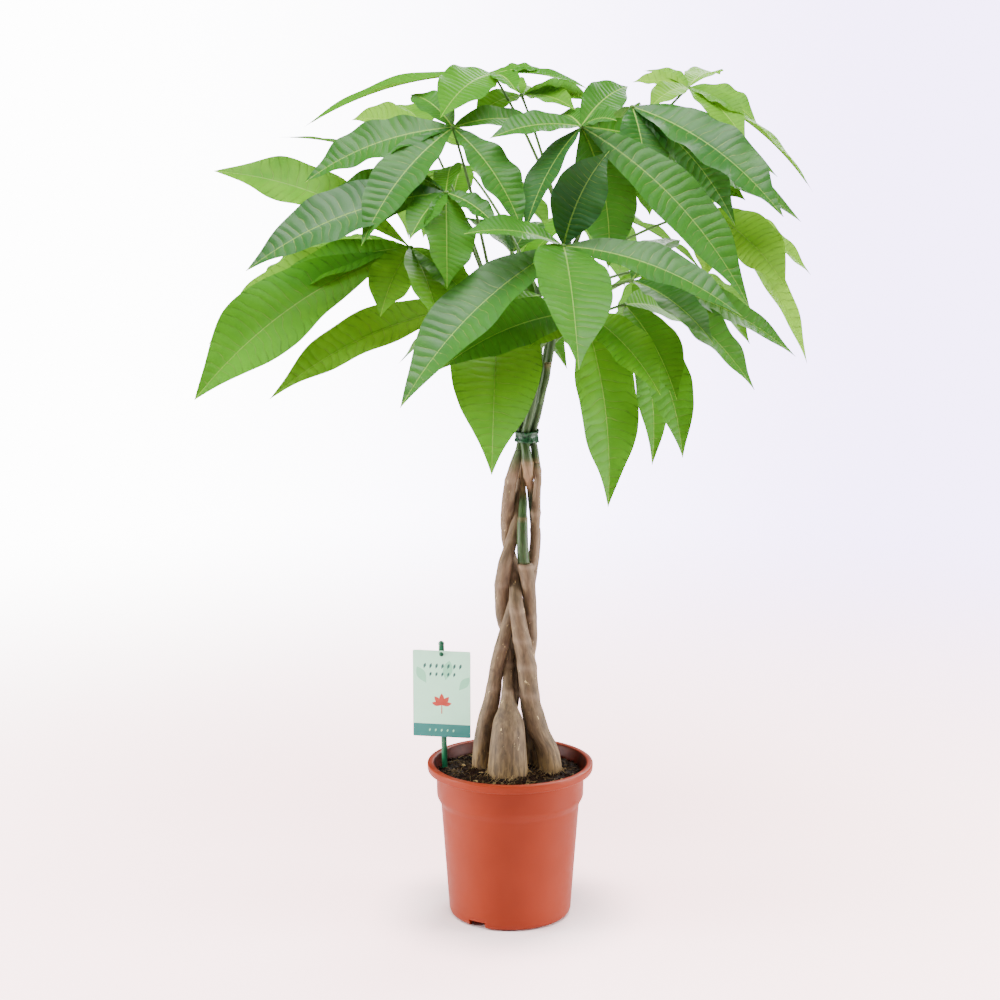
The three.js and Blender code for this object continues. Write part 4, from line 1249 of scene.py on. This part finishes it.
def buildCard():
    look = labelLook
    left, right = look["offset"] - look["width"] / 2, look["offset"] + look["width"] / 2
    top = look["holeDrop"]
    bottom = top - look["height"]
    outline = roundedRectangle(left, right, bottom, top, look["corner"])
    sheet = Shape()
    addSheet(sheet, outline, -look["thickness"], 0)
    mint = makeMaterial("mint polystyrene card, printed", printedCard, look["mint"])
    card = sheet.build("label_card_printed", [mint], "card", "label_card", sharp=40)
    drill = Shape()
    hole = [(look["holeRadius"] * x, look["holeRadius"] * z) for x, z in circle(look["holeSides"])]
    addSheet(drill, hole, -0.004, 0.004)
    cutAway(card, drill.build("drill"))

    ink = Shape()
    bandTop = bottom + look["height"] * look["bandShare"]
    lowCorners = [spot for spot in outline if spot[1] < bottom + look["corner"] + 1e-6]
    addInk(ink, lowCorners[:7] + [(right, bandTop), (left, bandTop)] + lowCorners[7:], 0)
    for row in look["sprig"]:
        addInk(ink, leafOutline(*row), 1)
    x, z = look["offset"], bottom + look["height"] * look["sprig"][0][1]
    addInk(ink, [(x - 0.0005, z - 0.009), (x + 0.0005, z - 0.009), (x + 0.0005, z), (x - 0.0005, z)], 1)
    for row in look["ghosts"]:
        addInk(ink, leafOutline(*row), 2, high=0.6)
    for reach, aside, share, length, width, paint, high, low in look["marks"]:
        for place in range(-reach, reach + 1):
            x = aside + place * look["markStep"]
            addInk(ink, leafOutline(x, share, look["markBearing"], length, width, 6), paint, high, low)
    inks = [makeMaterial(f"{name} printing ink", printedCard, colour) for name, colour in look["inks"]]
    ink.build("label_print", inks, "card", sharp=30)


def buildStake():
    look = labelLook
    stake = Shape()
    half, deep, bevel = look["stakeWidth"] / 2, look["stakeDepth"] / 2, look["stakeBevel"]
    foot, top = look["stakeFoot"], look["stakeTop"]
    lines = []
    for height, share in ((foot, 0.33), (foot + 0.012, 1.0), (top - 0.001, 1.0), (top, 0.85)):
        wide = half * share
        spots = [(-wide + bevel, -deep), (wide - bevel, -deep), (wide, -deep + bevel), (wide, deep - bevel)]
        spots += [(-x, -y) for x, y in spots]
        lines.append([stake.point(onStake((x, y, height))) for x, y in spots])
    stake.skin(lines)
    addKnob(stake, (0, 0, top + 0.0015), look["knobRadius"], (1, 1, 1), 10, 20, onStake)
    addKnob(stake, (0, -deep - 0.0022, look["pegHeight"]), look["pegRadius"], (1, 1.1, 1), 10, 16, onStake)
    plastic = makeMaterial("dark green polypropylene, moulded", stakePlastic)
    stake.build("label_stake_moulded", [plastic], "stake_plastic", "label_stake", sharp=50)


buildCard()
buildStake()
print("label built")


# Stage, lights and camera.

stageLook = {
    "floorRings": (0.2, 0.5, 1.0, 1.8, 2.6),
    "floorDrop": -0.0004,
    "floorSides": 96,
    "floor": "#F8E6E6",
    "worldLight": 0.22,   # how strongly the surroundings light the plant
    "floorShown": 3.0,    # the paper's own brightness where the camera sees it
    "floorShownColour": "#FFC0C4",
    "shown": (14, 8.1),   # how bright the surroundings look at the left and at the right
    "worldLeft": "#FFFFFF",
    "worldRight": "#DDCBFF",
}


# Matt white studio paper, which fades into the pale surroundings.
def studioPaper(node):
    look = stageLook
    place = node("TexCoord", out="Object")
    away = node("VectorMath", [place], operation="LENGTH")
    fade = node("MapRange", (away, 0.45, look["floorRings"][-1] * 0.9, 1, 0), **smooth)
    seen = node("LightPath", out="Is Camera Ray")
    # painted shadow: the paper's glow fades out under and round the pot, as a soft contact shadow
    shown = node("MapRange", (away, 0.06, 0.16, 0, look["floorShown"]), **smooth)
    shown = node("Math", (seen, shown), **times)
    return node("BsdfPrincipled", {
        "Base Color": look["floor"], "Roughness": 0.7, "Emission Color": look["floorShownColour"],
        "Emission Strength": shown, "Alpha": fade})


# Pale surroundings, brighter at the left, that light the plant less than they show.
def surroundings(node):
    look = stageLook
    seen = node("LightPath", out="Is Camera Ray")
    aside = node("SeparateXYZ", [node("TexCoord", out="Generated")], "X")
    aside = node("MapRange", (aside, -0.2, 0.2, 0, 1), **smooth)
    shown = node("MapRange", (aside, 0, 1, *look["shown"]))
    strength = node("Mix", (seen, look["worldLight"], shown))
    tint = node("Mix", (aside, look["worldLeft"], look["worldRight"]), **mixed)
    return node("Background", {"Color": tint, "Strength": strength})


def buildStage():
    look = stageLook
    shape = Shape()
    middle = shape.point((0, 0, look["floorDrop"]))
    lines = [shape.ring(look["floorSides"], radius, look["floorDrop"]) for radius in look["floorRings"]]
    for side in range(look["floorSides"]):
        shape.face((middle, lines[0][side - 1], lines[0][side]))
    for inner, outer in zip(lines, lines[1:]):
        shape.band(outer, inner)
    shape.build("floor", [makeMaterial("studio paper, matt", studioPaper)])
    world = bpy.data.worlds.new("studio")
    bpy.context.scene.world = fillTree(world, "OutputWorld", surroundings)


# Softboxes: name, place, aim, size and power in watts.
softboxes = [
    ("overhead softbox", (-0.2, -0.6, 2.4), (0, 0, 0.5), (1.8, 1.4), 150),
    ("left softbox", (-2.1, -0.3, 1.0), (0, 0, 0.4), (0.9, 1.6), 42),
    ("right softbox", (2.1, -0.3, 1.0), (0, 0, 0.4), (0.9, 1.6), 40),
    ("low left softbox", (-1.4, -0.15, 0.25), (0, 0, 0.1), (0.5, 0.5), 30),
    ("low right softbox", (1.4, -0.15, 0.25), (0, 0, 0.1), (0.5, 0.5), 29),
    ("rear softbox", (0.9, 1.7, 1.7), (0, 0, 0.7), (1.4, 1.2), 90),
]


def buildLights():
    for name, place, aim, size, power in softboxes:
        light = bpy.data.lights.new(name, "AREA")
        light.shape = "RECTANGLE"
        light.size, light.size_y = size
        light.energy = power
        box = addObject(name, light)
        box.location = place
        box.visible_camera = False
        box.rotation_euler = (Vector(aim) - Vector(place)).to_track_quat("-Z", "Y").to_euler()


cameraLook = {
    "place": (-0.0104, -2.0, 0.7894),
    "pitch": 10.148,     # degrees downwards
    "lens": 73.02,
    "sensor": 36,
}


def buildCamera():
    data = bpy.data.cameras.new("camera")
    data.lens = cameraLook["lens"]
    data.sensor_width = cameraLook["sensor"]
    camera = addObject("camera", data)
    camera.location = cameraLook["place"]
    camera.rotation_euler = (radians(90 - cameraLook["pitch"]), 0, 0)
    bpy.context.scene.camera = camera


buildStage()
buildLights()
buildCamera()
print("stage, lights and camera ready")
